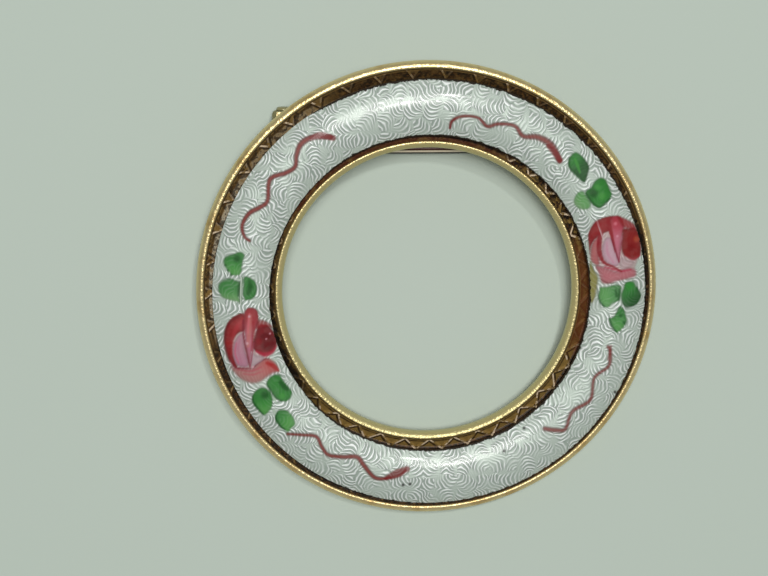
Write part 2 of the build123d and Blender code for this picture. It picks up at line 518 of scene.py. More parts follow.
# %% Helpers for materials
def tree_of(*values):
    """The node tree that the sockets among some values belong to."""
    return next(value.id_data for value in values if isinstance(value, bpy.types.NodeSocket))


def feed(socket, value):
    """Sets a socket to a value, or links it to the socket that feeds it."""
    if isinstance(value, bpy.types.NodeSocket):
        socket.id_data.links.new(value, socket)
    else:
        socket.default_value = value


def set_inputs(node, **inputs):
    """Feeds the named inputs of a node."""
    for name, value in inputs.items():
        feed(node.inputs[name.replace("_", " ")], value)


def add_node(tree, kind, settings=None, **inputs):
    """A shader node with its settings, and its inputs as values or as the sockets that feed them."""
    node = tree.nodes.new("ShaderNode" + kind)
    for name, value in (settings or {}).items():
        setattr(node, name, value)
    set_inputs(node, **inputs)
    return node


def maths(operation, *values, kind="Math", output=0):
    """The result of a Math node of some numbers, or of a VectorMath node of some vectors."""
    node = add_node(tree_of(*values), kind, {"operation": operation})
    for socket, value in zip(node.inputs, values):
        feed(socket, value)
    return node.outputs[output]


print("nodes can be added")

# %% Helpers for masks
def chained(operation, masks):
    """One Math operation carried through some masks."""
    result = masks[0]
    for mask in masks[1:]:
        result = maths(operation, result, mask)
    return result


def times(*masks):
    """The product of some masks: what lies in all of them."""
    return chained("MULTIPLY", masks)


def most(*masks):
    """The largest of some masks: what lies in any of them."""
    return chained("MAXIMUM", masks)


def outside(mask, strength=1.0):
    """1 less a mask, or less a part of it: what lies outside."""
    return maths("MULTIPLY_ADD", mask, -strength, 1.0)


def ramp(value, low, high, start=0.0, end=1.0):
    """A smooth change from start to end while a value goes from low to high."""
    node = add_node(value.id_data, "MapRange", {"interpolation_type": "SMOOTHSTEP"})
    for number, setting in enumerate((value, low, high, start, end)):
        feed(node.inputs[number], setting)
    return node.outputs[0]


def zone(value, low, high, soft):
    """1 where a value lies between two limits, with soft edges."""
    return times(ramp(value, low - soft, low + soft), ramp(value, high + soft, high - soft))


def layered(colour, *layers):
    """Colours laid over one another, each with its mask. A colour is a picture's or a socket."""
    for mask, layer in layers:
        node = add_node(mask.id_data, "Mix", {"data_type": "RGBA"}, Factor=mask)
        for socket, tint in ((node.inputs[6], colour), (node.inputs[7], layer)):
            feed(socket, opaque(tint) if isinstance(tint, tuple) else tint)
        colour = node.outputs[2]
    return colour


print("masks can be mixed")

# %% Helpers for places
def noise(place, scale, detail=2.0, roughness=0.5):
    """A noise texture's value, from 0 to 1, by its scale in patches a mm."""
    settings = {"Vector": place, "Scale": scale, "Detail": detail, "Roughness": roughness}
    return add_node(place.id_data, "TexNoise", **settings).outputs[0]


def flat_place(tree):
    """Where a point lies on the flat brooch, in mm from the middle of the hole, and its three parts."""
    flat = add_node(
        tree,
        "Mapping",
        {"vector_type": "TEXTURE"},
        Vector=add_node(tree, "TexCoord").outputs["Object"],
        Location=ring_centre * MM,
        Rotation=(lean, 0, 0),
        Scale=(MM, MM, MM),
    ).outputs[0]
    return flat, *add_node(tree, "SeparateXYZ", Vector=flat).outputs


def radius_and_turn(x, y):
    """A place's distance from the middle, and its angle in degrees, anticlockwise from the right."""
    radius = maths("SQRT", maths("ADD", times(x, x), times(y, y)))
    return radius, maths("DEGREES", maths("ARCTAN2", y, x))


def zigzag_gap(turned, share, top_r, teeth, first_step, foot, tip):
    """The gap to a wall's nearer stroke in mm, above 0 within a V, and the point's place in its tooth."""
    steps = maths("SUBTRACT", turned, first_step * 360 / STEPS)
    phase = maths("SUBTRACT", maths("FRACT", times(steps, teeth / 360)), 0.5)
    reach = maths("MULTIPLY_ADD", share, -foot / tip, foot)
    gap = maths("SUBTRACT", reach, maths("ABSOLUTE", phase))
    return times(gap, stroke_scale(top_r, teeth, foot, tip)), phase


print("places can be read")

# %% Where a point of the gilt lies
gilt, tree, shader = new_material("worn_gilt")
place, x, y, height = flat_place(tree)
radius, turned = radius_and_turn(x, y)
either_way = maths("ABSOLUTE", turned)
# down counts mm from a wall's upper edge towards the floor, and share counts the same way from 0 to 1
on_outer = maths("GREATER_THAN", radius, (outer_floor_r + inner_floor_r) / 2)
on_inner = outside(on_outer)
down = maths("MINIMUM", maths("SUBTRACT", outer_wall_r, radius), maths("SUBTRACT", radius, inner_wall_r))
share = maths("DIVIDE", down, WALL_RUN)
in_channel = times(
    ramp(down, -0.17, -0.08),
    ramp(height, -0.02, -0.12),
    ramp(height, -CHANNEL_DEPTH - 0.20, -CHANNEL_DEPTH - 0.05),
)
hole_side = ramp(radius, inner_crest_r + 0.02, inner_crest_r - 0.10)
behind = ramp(height, -RING_DEPTH - 0.02, -RING_DEPTH - 0.10)

outer_gap, outer_phase = zigzag_gap(turned, share, outer_wall_r, *OUTER_ZIGZAG[:4])
inner_gap, _ = zigzag_gap(turned, share, inner_wall_r, *INNER_ZIGZAG[:4])
gap = maths("ADD", times(outer_gap, on_outer), times(inner_gap, on_inner))
# painted highlight: on the outer wall one stroke of each V is lit in full and the other only at a quarter; on
# the inner wall both strokes are lit
highlit_stroke_side = most(on_inner, ramp(outer_phase, -0.03, 0.03, 0.25, 1.0))
rib = times(ramp(maths("ABSOLUTE", gap), 0.09, 0.05), ramp(share, 0.0, 0.06), highlit_stroke_side)
rib_foot = times(zone(gap, -0.23, -0.07, 0.02), ramp(share, 0.03, 0.10))
hollow = ramp(gap, -0.02, -0.08)
low_hollow = times(ramp(share, 0.26, 0.34), hollow)
# painted shade: the hollows just under the crest are darkened where the crest shades them; the lip at the
# wall's top and the low part of the walls are darkened partly as tarnish and partly as painted shade
shade_under_crest = times(zone(share, 0.10, 0.28, 0.05), most(hollow, on_inner))
lip = zone(down, -0.08, 0.03, 0.03)
deep = ramp(share, 0.66, 0.85)
print("places on the gilt:", len(tree.nodes), "nodes")

# %% [markdown]
# ## Stains and painted shade
# The photograph shows each stretch of the channel in its own state: brown at the top, red-brown on the right
# of the inner wall, black under the rim at the lower right, where grime and a painted shade of the crevice lie
# together, and nearly clean on the left, where a painted cream reflection of the enamel fills the lower
# hollows. Each stretch is two angles and the width of its fade, in degrees anticlockwise from the right. A
# noise breaks the edges.

# %% Stains and painted shade of the channel
OUTER_BROWN, OUTER_RIM, OUTER_BLACK, OUTER_LOW = (18, 118, 6), (-168, 20, 5), (-125, 20, 6), (-168, -120, 5)
INNER_RED, INNER_SPOTS, INNER_CROWN = (-22, 17, 5), (14, 64, 6), (60, 152, 6)

patches = noise(place, 0.7, 4.0, 0.6)
specks = noise(place, 5.0, 3.0, 0.6)
coarse = noise(place, 2.2, 3.0, 0.65)
rough_edge = ramp(coarse, 0.30, 0.55, 0.55, 1.0)
half_covered = ramp(coarse, 0.44, 0.54)

clean_left = times(on_outer, ramp(either_way, 116, 124), ramp(y, -4.5, -2.0))
# how strongly the painted cream reflection of the enamel shows, stronger further round to the left
enamel_reflection_reach = times(clean_left, ramp(either_way, 138, 160, 0.35, 1.0))
brown_top = times(on_outer, zone(turned, *OUTER_BROWN))
red_right = times(on_inner, zone(turned, *INNER_RED))
spotted = times(on_inner, zone(turned, *INNER_SPOTS), half_covered)
crown = times(on_inner, zone(turned, *INNER_CROWN))
inner_left = times(on_inner, most(ramp(turned, 140, 160), ramp(turned, -128, -150)))
spread = most(
    times(brown_top, ramp(share, -0.02, 0.15)),
    times(crown, ramp(share, -0.15, -0.06)),
    times(inner_left, ramp(share, -0.06, 0.04)),
)
brown_rim = times(on_outer, zone(turned, *OUTER_RIM), ramp(share, -0.14, -0.04))
# tarnish, dirt and painted shade together: the painted shade lies under the crests, on the lips and low on the
# walls
dirt_and_shade = most(
    times(shade_under_crest, rough_edge, 0.85),
    times(rib_foot, 0.9),
    times(clean_left, half_covered, 0.85),
    times(lip, 0.7),
    times(deep, outside(clean_left)),
    times(spread, rough_edge, 0.95),
    times(brown_rim, 0.95),
    spotted,
)
dirt_and_shade = times(dirt_and_shade, in_channel, outside(times(rib, outside(crown)), 0.75))
# black grime together with a painted shade of the crevice: under the rim at the lower right, low on the lower
# left, and under the inner crest at the top and on the left
black_grime_and_shade = most(
    times(on_outer, zone(turned, *OUTER_BLACK), ramp(share, 0.0, 0.16)),
    times(on_outer, zone(turned, *OUTER_LOW), ramp(share, 0.30, 0.48)),
    times(maths("ADD", crown, inner_left), ramp(share, 0.10, 0.24), rough_edge),
)
red_wall = times(in_channel, red_right, ramp(share, 0.0, 0.12), ramp(coarse, 0.3, 0.5, 0.6, 0.9))
# painted reflection: the lower hollows on the left take a cream colour for the enamel mirrored in them
painted_enamel_reflection = times(in_channel, low_hollow, enamel_reflection_reach, ramp(coarse, 0.36, 0.50, 0.25, 1.0))
# raised strokes rubbed bare, their pale colour also a painted highlight
worn_and_lit_rib = times(
    in_channel,
    rib,
    half_covered,
    outside(spread, 0.8),
    outside(maths("ADD", red_right, crown), 0.95),
    outside(brown_rim, 0.9),
)
print("stains:", len(tree.nodes), "nodes so far")

# %% [markdown]
# ## Colour and shine of the gilt
# The colours are laid over one another: gilding first, then a painted cream reflection of the enamel, then
# tarnish together with painted shade, then red-brown stains and what rubbing laid bare, whose pale colour is
# also a painted highlight, and last black grime with a painted shade of the crevices. Dirt isn't metal, and
# deep metal mirrors only its dark neighbours, so the channel is made mostly unmetallic. Otherwise its walls
# would show no colour of their own.

# %% Gilt material
PALE_GILT, WARM_GILT, DULL_GILT = (230, 210, 156), (208, 174, 112), (198, 186, 132)
WALL_GILT, WALL_OLIVE, WALL_RED = (148, 118, 68), (154, 126, 70), (112, 64, 30)
BACK_GILT = (146, 140, 98)
# the cream colour is a painted reflection of the enamel; the pale rib colour is rubbed gilt and a painted
# highlight
RIB_GILT_AND_HIGHLIGHT, REFLECTED_CREAM = (252, 228, 196), (226, 214, 188)
# the brown and black tarnish colours also paint shade: the brown under the crests, on the lips and low on the
# walls, the black in the crevice under the rim
TARNISH_AND_SHADE, RED_TARNISH, BLACK_TARNISH_AND_SHADE = (88, 58, 24), (88, 34, 16), (24, 16, 8)
BEAD_DEPTH, BEAD_STRENGTH = 0.060, 0.7

reddened = times(maths("ADD", red_right, times(crown, 0.9)), 0.8)
tarnish_and_shade = layered(TARNISH_AND_SHADE, (ramp(specks, 0.34, 0.58), BLACK_TARNISH_AND_SHADE), (reddened, RED_TARNISH))
gilt_colour = layered(
    PALE_GILT,
    (ramp(patches, 0.45, 0.75), WARM_GILT),
    (hole_side, DULL_GILT),
    (behind, BACK_GILT),
    (in_channel, layered(WALL_GILT, (on_inner, WALL_OLIVE))),
    (painted_enamel_reflection, REFLECTED_CREAM),
    (dirt_and_shade, tarnish_and_shade),
    (red_wall, WALL_RED),
    (worn_and_lit_rib, RIB_GILT_AND_HIGHLIGHT),
    (times(black_grime_and_shade, in_channel), BLACK_TARNISH_AND_SHADE),
)
lower_rim = times(on_outer, ramp(y, 1.0, -6.0, 0.15, 0.3))
covered = most(times(in_channel, 0.75), times(behind, 0.6), times(hole_side, 0.5), lower_rim)
dull = most(dirt_and_shade, times(red_wall, 0.7), behind)
bead_height = noise(place, 5.0, 2.0, 0.6)
beads = add_node(tree, "Bump", Strength=BEAD_STRENGTH, Distance=BEAD_DEPTH * MM, Height=bead_height)
set_inputs(
    shader,
    Base_Color=gilt_colour,
    Metallic=outside(covered),
    Roughness=ramp(maths("MULTIPLY_ADD", specks, 0.5, dull), 0.2, 1.2, 0.38, 0.58),
    Normal=beads.outputs[0],
)
print("gilt:", len(tree.nodes), "nodes")

# %% [markdown]
# ## Handing a piece over
# Every piece is drawn flat, in mm, and is finished in the same way: it is laid down on the table and that
# place is applied to its mesh, edges sharper than 30 degrees stay crisp, and it takes the place of an imported
# node on its body. One helper does all this, so that no piece misses a step.

# %% Helper that hands a piece over
SHARP_ANGLE = 30


def finish_piece(piece, node, body, material):
    """Lays a piece down, shades it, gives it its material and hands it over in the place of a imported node."""
    select_only(piece)
    piece.matrix_world = Matrix.Scale(MM, 4) @ to_table
    bpy.ops.object.transform_apply(location=True, rotation=True, scale=True)
    bpy.ops.object.shade_smooth_by_angle(angle=radians(SHARP_ANGLE))
    piece.data.materials.clear()
    piece.data.materials.append(material)
    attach(piece, body)
    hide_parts(node)
    print(piece.name, "has", len(piece.data.polygons), "faces")


print("pieces can be handed over")

# %% The ring in its gilding
finish_piece(ring, "frame", "root", gilt)

# %% [markdown]
# ## The hinge and the catch
# Brooches of this kind carry a pin on their back: a wire that turns in a hinge at one side and closes in a
# hook at the other. Both fittings are rolled and bent from strip and soldered on a small foot. The tubes are
# sections spun about the hinge's axis. The foot is a block cut by the band of the ring's back, so that it
# never reaches past it. The hook is one strip that is spun round the wire. Feet, posts and hook are
# bevelled last, because a real strip has no sharp edges.

# %% Helpers for the fittings
STEM_DROP = -PIN_Z - RING_DEPTH
FOOT_THICKNESS, FOOT_WIDTH, FOOT_EDGE = 0.35, 1.6, 0.10
CUTTER_DEPTH = 4
STRIP_ROUND = 0.05
ROUND_STEPS, ROUND_SEGMENTS = 48, 4

hinge_x = hinge.x
fitting_x = -hinge_x


def add_block(name, middle, size):
    """A block, in edit mode, at its middle and of its size in mm."""
    select_only()
    bpy.ops.mesh.primitive_cube_add(size=1, location=MIDDLE)
    piece = bpy.context.object
    piece.name = piece.data.name = name
    bpy.ops.object.mode_set(mode="EDIT")
    everything()
    bpy.ops.transform.resize(value=size)
    bpy.ops.transform.translate(value=middle)
    return piece


def round_edges(width, sharper_than=40, segments=2):
    """Bevels the edges of the edited piece that are sharper than an angle."""
    merge_doubles()
    bpy.ops.mesh.select_all(action="DESELECT")
    bpy.ops.mesh.select_mode(type="EDGE")
    bpy.ops.mesh.edges_select_sharp(sharpness=radians(sharper_than))
    bpy.ops.mesh.bevel(offset=width, segments=segments, affect="EDGES", clamp_overlap=True)


def cut_with(piece, cutter, operation):
    """A Boolean of a piece with a cutter, applied. The cutter is removed."""
    select_only(piece)
    cut = piece.modifiers.new(operation.lower(), "BOOLEAN")
    cut.operation = operation
    cut.solver = "EXACT"
    cut.object = cutter
    bpy.ops.object.modifier_apply(modifier=cut.name)
    bpy.data.objects.remove(cutter)


def turned_about_hinge(name, corners):
    """A section of radius and place along the hinge, spun about the hinge's axis."""
    piece = draw_section(name, corners, lambda radius, along: (hinge_x + radius, PIN_Y + along, PIN_Z))
    everything()
    spin_about((0, 1, 0), (hinge_x, 0, PIN_Z), 360, ROUND_STEPS)
    close_up_mesh()
    object_mode()
    return piece


def fitting_foot(name, x, y, length):
    """A foot plate on the ring's back, trimmed to the band."""
    piece = add_block(name, (x, y, -RING_DEPTH - FOOT_THICKNESS / 2), (FOOT_WIDTH, length, FOOT_THICKNESS))
    select_only()
    bpy.ops.mesh.primitive_cylinder_add(
        vertices=STEPS, radius=back_outer_r - FOOT_EDGE, depth=CUTTER_DEPTH, location=(0, 0, -RING_DEPTH)
    )
    cut_with(piece, bpy.context.object, "INTERSECT")
    bpy.ops.object.mode_set(mode="EDIT")
    round_edges(STRIP_ROUND)
    object_mode()
    return piece


print("the wire lies", STEM_DROP, "mm behind the ring's back")

# %% Hinge knuckles
TUBE_R, BORE_R = 0.80, 0.34
TUBE_LENGTH, MIDDLE_KNUCKLE, KNUCKLE_GAP = 5.40, 2.10, 0.05
KNUCKLE_EDGE, END_ROUND = 0.07, 0.32
POST_WIDTH, POST_BELOW_BORE = 1.0, 0.1


def tube(name, start, end, bore):
    """A knuckle about the hinge's axis. An end of it that is also an end of the whole hinge is round."""
    lower = END_ROUND if start < -MIDDLE_KNUCKLE else KNUCKLE_EDGE
    upper = END_ROUND if end > MIDDLE_KNUCKLE else KNUCKLE_EDGE
    corners = (
        (bore, start, KNUCKLE_EDGE, ROUND_SEGMENTS),
        (TUBE_R, start, lower, ROUND_SEGMENTS),
        (TUBE_R, end, upper, ROUND_SEGMENTS),
        (bore, end, KNUCKLE_EDGE, ROUND_SEGMENTS),
        (bore, start, 0, 0),
    )
    return turned_about_hinge(name, corners)


knuckle_start = MIDDLE_KNUCKLE / 2 + KNUCKLE_GAP
knuckle_length = TUBE_LENGTH / 2 - knuckle_start
post_drop = STEM_DROP - BORE_R - POST_BELOW_BORE
parts = [fitting_foot("hinge_foot", hinge_x, PIN_Y, TUBE_LENGTH)]
for side in (-1, 1):
    near, far = side * knuckle_start, side * TUBE_LENGTH / 2
    parts.append(tube("knuckle", min(near, far), max(near, far), BORE_R))
    post_middle = (hinge_x, PIN_Y + (near + far) / 2, -RING_DEPTH - post_drop / 2)
    parts.append(add_block("post", post_middle, (POST_WIDTH, knuckle_length, post_drop)))
    round_edges(STRIP_ROUND)
hinge_knuckles = join_pieces("hinge_knuckles", parts)
finish_piece(hinge_knuckles, "frame", "root", gilt)

# %% Catch
CATCH_WIDTH, CATCH_STRIP, CATCH_ROUND = 1.8, 0.40, 0.06
CATCH_INNER_R = 0.64
CATCH_BEND, CATCH_STEPS = 205, 40
CATCH_FOOT_LENGTH = 1.9

strip_y = PIN_Y + CATCH_INNER_R
hook = start_point("catch_hook", (fitting_x - CATCH_WIDTH / 2, strip_y, -RING_DEPTH))
extrude_by((0, CATCH_STRIP, 0))
everything()
extrude_by((0, 0, -STEM_DROP))
pick("edges", lambda middle: middle.z < PIN_Z + 0.01)
spin_about((1, 0, 0), (0, PIN_Y, PIN_Z), -CATCH_BEND, CATCH_STEPS)
merge_doubles()
everything()
extrude_by((CATCH_WIDTH, 0, 0))
close_up_mesh()
round_edges(CATCH_ROUND, sharper_than=50, segments=3)
catch_foot = fitting_foot("catch_foot", fitting_x, strip_y, CATCH_FOOT_LENGTH)
pin_catch = join_pieces("pin_catch", [catch_foot, hook])
finish_piece(pin_catch, "frame", "root", gilt)

# %% [markdown]
# ## The wire's metal
# Rivet and pin are pale gilt wire. In the photograph a short stretch of the pin shows under the upper side
# of the hole, streaked with cream, red-brown and black. Most of that is probably the stained ring above,
# mirrored in the round wire. A rendered mirror is too faint for it, so the lines are laid on the wire
# itself as painted light, on its upper half and only as far as the hole shows it: a cream painted highlight,
# a red-brown painted reflection of the ring and a black painted shade on the side towards the hole's middle.
# The rivet's ends are as dull as the back.

# %% Wire material
# the cream is a painted highlight, the red a painted reflection of the ring and the black a painted shade, all
# on the wire
WIRE_GILT, WIRE_PAINTED_HIGHLIGHT = (206, 184, 138), (255, 240, 214)
WIRE_PAINTED_REFLECTION, WIRE_PAINTED_SHADE = (72, 26, 16), (20, 12, 8)
WIRE_ROUGHNESS = 0.34
VISIBLE_HALF, VISIBLE_FADE = 3.0, 0.8

wire_metal, tree, shader = new_material("pin_wire_metal")
_, along, across, height = flat_place(tree)
across = maths("SUBTRACT", across, PIN_Y)
in_hole = ramp(maths("ABSOLUTE", along), VISIBLE_HALF + VISIBLE_FADE, VISIBLE_HALF)
# where the painted light lies: the wire's upper half, within the hole
painted_light_band = times(in_hole, ramp(height, PIN_Z - 0.05, PIN_Z + 0.05))
rivet_end = ramp(maths("ABSOLUTE", across), TUBE_LENGTH / 2 - 0.02, TUBE_LENGTH / 2)
wire_colour = layered(
    WIRE_GILT,
    (painted_light_band, WIRE_PAINTED_HIGHLIGHT),
    (times(painted_light_band, zone(across, -0.12, 0.3, 0.03)), WIRE_PAINTED_REFLECTION),
    (times(painted_light_band, ramp(across, -0.23, -0.27)), WIRE_PAINTED_SHADE),
    (rivet_end, BACK_GILT),
)
not_bare = most(rivet_end, painted_light_band)
set_inputs(shader, Base_Color=wire_colour, Metallic=outside(not_bare, 0.85), Roughness=WIRE_ROUGHNESS)
print("wire:", len(tree.nodes), "nodes")

# %% [markdown]
# ## The rivet and the pin
# The rivet is turned: a shaft with a domed head at each end. The pin is a wire with a knuckle at one end and
# a long sharp point at the other. It rides on its own body, so it swings about the rivet when the pin opens.

# %% Rivet
RIVET_R, RIVET_HEAD_R = 0.32, 0.50
RIVET_HEAD_GAP, RIVET_HEAD_HEIGHT = 0.02, 0.20
HEAD_ROUND, HEAD_EDGE = 0.17, 0.02

shoulder = TUBE_LENGTH / 2 + RIVET_HEAD_GAP
end = shoulder + RIVET_HEAD_HEIGHT
rivet = turned_about_hinge(
    "rivet",
    (
        (0, -end, 0, 0),
        (RIVET_HEAD_R, -end, HEAD_ROUND, ROUND_SEGMENTS),
        (RIVET_HEAD_R, -shoulder, HEAD_EDGE, ROUND_SEGMENTS),
        (RIVET_R, -shoulder, 0, 0),
        (RIVET_R, shoulder, 0, 0),
        (RIVET_HEAD_R, shoulder, HEAD_EDGE, ROUND_SEGMENTS),
        (RIVET_HEAD_R, end, HEAD_ROUND, ROUND_SEGMENTS),
        (0, end, 0, 0),
    ),
)
finish_piece(rivet, "hinge_rivet", "root", wire_metal)

# %% Pin wire
STEM_R, TIP_R = 0.40, 0.08
TAPER_ROUND, TIP_ROUND, STEM_SEGMENTS = 0.5, 0.07, 5
POINT_BEFORE_CATCH, POINT_BEYOND_CATCH = 0.1, 1.1
MIDDLE_BORE_R = RIVET_R + 0.04

taper_x = fitting_x - CATCH_WIDTH / 2 - POINT_BEFORE_CATCH
tip_x = fitting_x + CATCH_WIDTH / 2 + POINT_BEYOND_CATCH
pin_wire = tube("pin_wire", -MIDDLE_KNUCKLE / 2, MIDDLE_KNUCKLE / 2, MIDDLE_BORE_R)
stem_start = hinge_x + (MIDDLE_BORE_R + TUBE_R) / 2
stem_corners = (
    (stem_start, 0, 0, 0),
    (stem_start, STEM_R, 0, 0),
    (taper_x, STEM_R, TAPER_ROUND, STEM_SEGMENTS),
    (tip_x, TIP_R, TIP_ROUND, STEM_SEGMENTS),
    (tip_x, 0, 0, 0),
)
stem = draw_section("stem", stem_corners, lambda x, radius: (x, PIN_Y, PIN_Z + radius))
everything()
spin_about((1, 0, 0), (0, PIN_Y, PIN_Z), 360, ROUND_STEPS)
close_up_mesh()
cut_with(pin_wire, stem, "UNION")
finish_piece(pin_wire, "pin_stem", "pin", wire_metal)

# %% [markdown]
# ## The enamel plate
# The plate is domed, so that its gloss runs round it in one streak. Its section is an arc, drawn by spinning
# one point, with a thin edge and a flat underside that sits in the channel. It is spun in fine steps,
# because the painting is stored on its points, as a painter lays colour on the dome.

# %% Enamel plate
PLATE_SHIFT = Vector((0.16, -0.22, 0))
OUTER_PLAY, INNER_PLAY = 0.10, 0.22
DOME_RISE = 0.55
PLATE_EDGE_Z, PLATE_EDGE_THICKNESS = -0.04, 0.12
SEAT_GAP, PLATE_FOOT_PLAY = 0.05, 0.12
DOME_SEGMENTS, PLATE_STEPS, PLATE_SECTORS = 60, 1440, 36

plate_outer_r = outer_wall_r - PLATE_SHIFT.length - OUTER_PLAY
plate_inner_r = inner_wall_r + PLATE_SHIFT.length + INNER_PLAY
half_chord = (plate_outer_r - plate_inner_r) / 2
dome_r = (half_chord**2 + DOME_RISE**2) / (2 * DOME_RISE)
dome_half_angle = degrees(asin(half_chord / dome_r))
dome_centre = ((plate_outer_r + plate_inner_r) / 2, 0, PLATE_EDGE_Z + DOME_RISE - dome_r)
under_z = PLATE_EDGE_Z - PLATE_EDGE_THICKNESS
foot_z = -CHANNEL_DEPTH + SEAT_GAP
underside = (
    (plate_outer_r, PLATE_EDGE_Z),
    (plate_outer_r, under_z),
    (outer_floor_r - PLATE_SHIFT.length - PLATE_FOOT_PLAY, foot_z),
    (inner_floor_r + PLATE_SHIFT.length + PLATE_FOOT_PLAY, foot_z),
    (plate_inner_r, under_z),
    (plate_inner_r, PLATE_EDGE_Z),
)
enamel = start_point("enamel", (plate_inner_r, 0, PLATE_EDGE_Z))
spin_about((0, 1, 0), dome_centre, 2 * dome_half_angle, DOME_SEGMENTS)
pick("verts", lambda point: point.x > plate_outer_r - 1e-4)
for before, after in zip(underside, underside[1:]):
    extrude_by((after[0] - before[0], 0, after[1] - before[1]))
merge_doubles()
spin_ring(PLATE_STEPS, PLATE_SECTORS)
everything()
bpy.ops.transform.translate(value=PLATE_SHIFT)
object_mode()
print(f"plate from {plate_inner_r:.2f} to {plate_outer_r:.2f} mm, {len(enamel.data.vertices)} points")

# %% [markdown]
# ## Laying colour on the dome
# The roses, leaves and scrolls are painted by hand, stroke over stroke, with translucent colours. The script
# paints in the same order. Each point of the plate knows its pixel in the photograph, and each stroke is an
# outline or a brush line of a few points that were read there, in an enlarged view. A view is named
# by its upper left pixel and its zoom. A stroke covers the points that it reaches, with a soft edge, and the
# colours are kept on the mesh as an attribute.

# %% Lines read off
STEPS_PER_SPAN = 7
POOLING, POOL_WIDTH = 0.24, 1.6
WHOLE_PHOTO = (0, 0, 1)

plate_pixels = photo_pixels([vertex.co for vertex in enamel.data.vertices])
paint = np.zeros((len(plate_pixels), 3))
cover = np.zeros(len(plate_pixels))


def read_in(view, points):
    """Turns points that were read in an enlarged view of the photograph into its pixels."""
    left, top, zoom = view
    return [(left + x / zoom, top + y / zoom) for x, y in points]


def smooth_line(points, closed):
    """A smooth line through points that were read off."""
    points = np.array(points, float)
    if closed:
        around = np.vstack((points[-1:], points, points[:2]))
    else:
        around = np.vstack((2 * points[:1] - points[1:2], points, 2 * points[-1:] - points[-2:-1]))
    t = np.linspace(0, 1, STEPS_PER_SPAN, endpoint=False)[:, None]
    spans = []
    for a, b, c, d in zip(around, around[1:], around[2:], around[3:]):
        bend = 2 * a - 5 * b + 4 * c - d
        twist = 3 * b - 3 * c + d - a
        spans.append((2 * b + (c - a) * t + bend * t**2 + twist * t**3) / 2)
    line = np.vstack(spans)
    return np.vstack((line, line[:1] if closed else points[-1:]))


def gaps_to_line(at, line):
    """The distance from each point to a line, and how far along it the nearest spot lies, from 0 to 1."""
    best = np.full(len(at), np.inf)
    along = np.zeros(len(at))
    for number, (a, b) in enumerate(zip(line, line[1:])):
        span = b - a
        share = np.clip(((at - a) @ span) / max(span @ span, 1e-9), 0, 1)
        gap = np.hypot(*(at - a - share[:, None] * span).T)
        nearer = gap < best
        best[nearer] = gap[nearer]
        along[nearer] = (number + share[nearer]) / (len(line) - 1)
    return best, along


def inside(at, line):
    """True for the points within a closed line."""
    within = np.zeros(len(at), bool)
    for (ax, ay), (bx, by) in zip(line, line[1:]):
        crosses = (ay > at[:, 1]) != (by > at[:, 1])
        within ^= crosses & (at[:, 0] < (bx - ax) * (at[:, 1] - ay) / (by - ay + 1e-12) + ax)
    return within


print(len(plate_pixels), "points on the plate")

# %% Brush tools
def soft_step(value):
    """A smooth rise from 0 to 1."""
    share = np.clip(value, 0, 1)
    return share * share * (3 - 2 * share)


def near_points(line, margin):
    """The numbers of the plate's points that lie in a line's neighbourhood."""
    low, high = line.min(axis=0) - margin, line.max(axis=0) + margin
    return np.flatnonzero(np.all((plate_pixels > low) & (plate_pixels < high), axis=1))


def lay_colour(which, amount, colour):
    """Lays one translucent colour over what is there. Colours are as read from the picture, 0 to 255."""
    kept = (1 - amount)[:, None]
    paint[which] = paint[which] * kept + np.asarray(colour, float) * amount[:, None]
    cover[which] = cover[which] * (1 - amount) + amount


def dab(view, points, colour, strength=1.0, edge=1.2, fade=None):
    """Fills an outline, darker where colour pools at its margin. fade is a second colour and two places."""
    line = smooth_line(read_in(view, points), True)
    which = near_points(line, edge * 2)
    at = plate_pixels[which]
    gap, _ = gaps_to_line(at, line)
    depth = np.where(inside(at, line), gap, -gap)
    colours = np.tile(np.asarray(colour, float), (len(at), 1))
    if fade:
        second, *places = fade
        start, end = read_in(view, places)
        run = np.subtract(end, start)
        share = soft_step(((at - start) @ run) / (run @ run))[:, None]
        colours = colours * (1 - share) + np.asarray(second, float) * share
    colours *= 1 - POOLING * np.exp(-np.maximum(depth, 0) / POOL_WIDTH)[:, None]
    lay_colour(which, strength * soft_step(0.5 + depth / (2 * edge)), colours)


def stroke(view, points, widths, colour, strength=1.0, edge=0.8):
    """A brush line. Its widths, in pixels, are spread evenly from its start to its end."""
    line = smooth_line(read_in(view, points), False)
    which = near_points(line, max(widths) + edge * 2)
    gap, along = gaps_to_line(plate_pixels[which], line)
    half = np.interp(along, np.linspace(0, 1, len(widths)), widths) / 2
    lay_colour(which, strength * soft_step(0.5 + (half - gap) / (2 * edge)), colour)


def dots(view, places, size, colour, strength=1.0):
    """Soft round touches of colour."""
    for place in read_in(view, places):
        which = near_points(np.array([place]), size * 1.5)
        gap = np.hypot(*(plate_pixels[which] - place).T)
        lay_colour(which, strength * soft_step(1.25 - gap / size), colour)


def paint_tables(*tables):
    """Lays the strokes of some tables, each a view and its rows, which are a tool and its settings."""
    for view, rows in tables:
        for tool, *settings in rows:
            tool(view, *settings)
    count = sum(len(rows) for _, rows in tables)
    print(count, "strokes,", round(cover.mean() * 100, 1), "% of the plate's points painted")


print("tools: dab, stroke and dots")

# %% [markdown]
# ## Leaves
# A leaf is one load of green, laid thin, so that it is paler where the brush lifts and darker where the
# colour pools along its margin. Each leaf is one outline, most of them with darker and paler touches.
# The strokes stand in tables, one for each enlarged view. A row is a tool, its points and its settings: the
# widths or the size, the colour, the strength and the soft edge, and for a leaf that changes its colour,
# the second colour with the two places between which it fades.

# %% Leaves on the upper right
DARK_GREEN, MID_GREEN = (14, 80, 22), (42, 124, 44)
LIGHT_GREEN, PALE_GREEN = (88, 158, 78), (122, 170, 110)

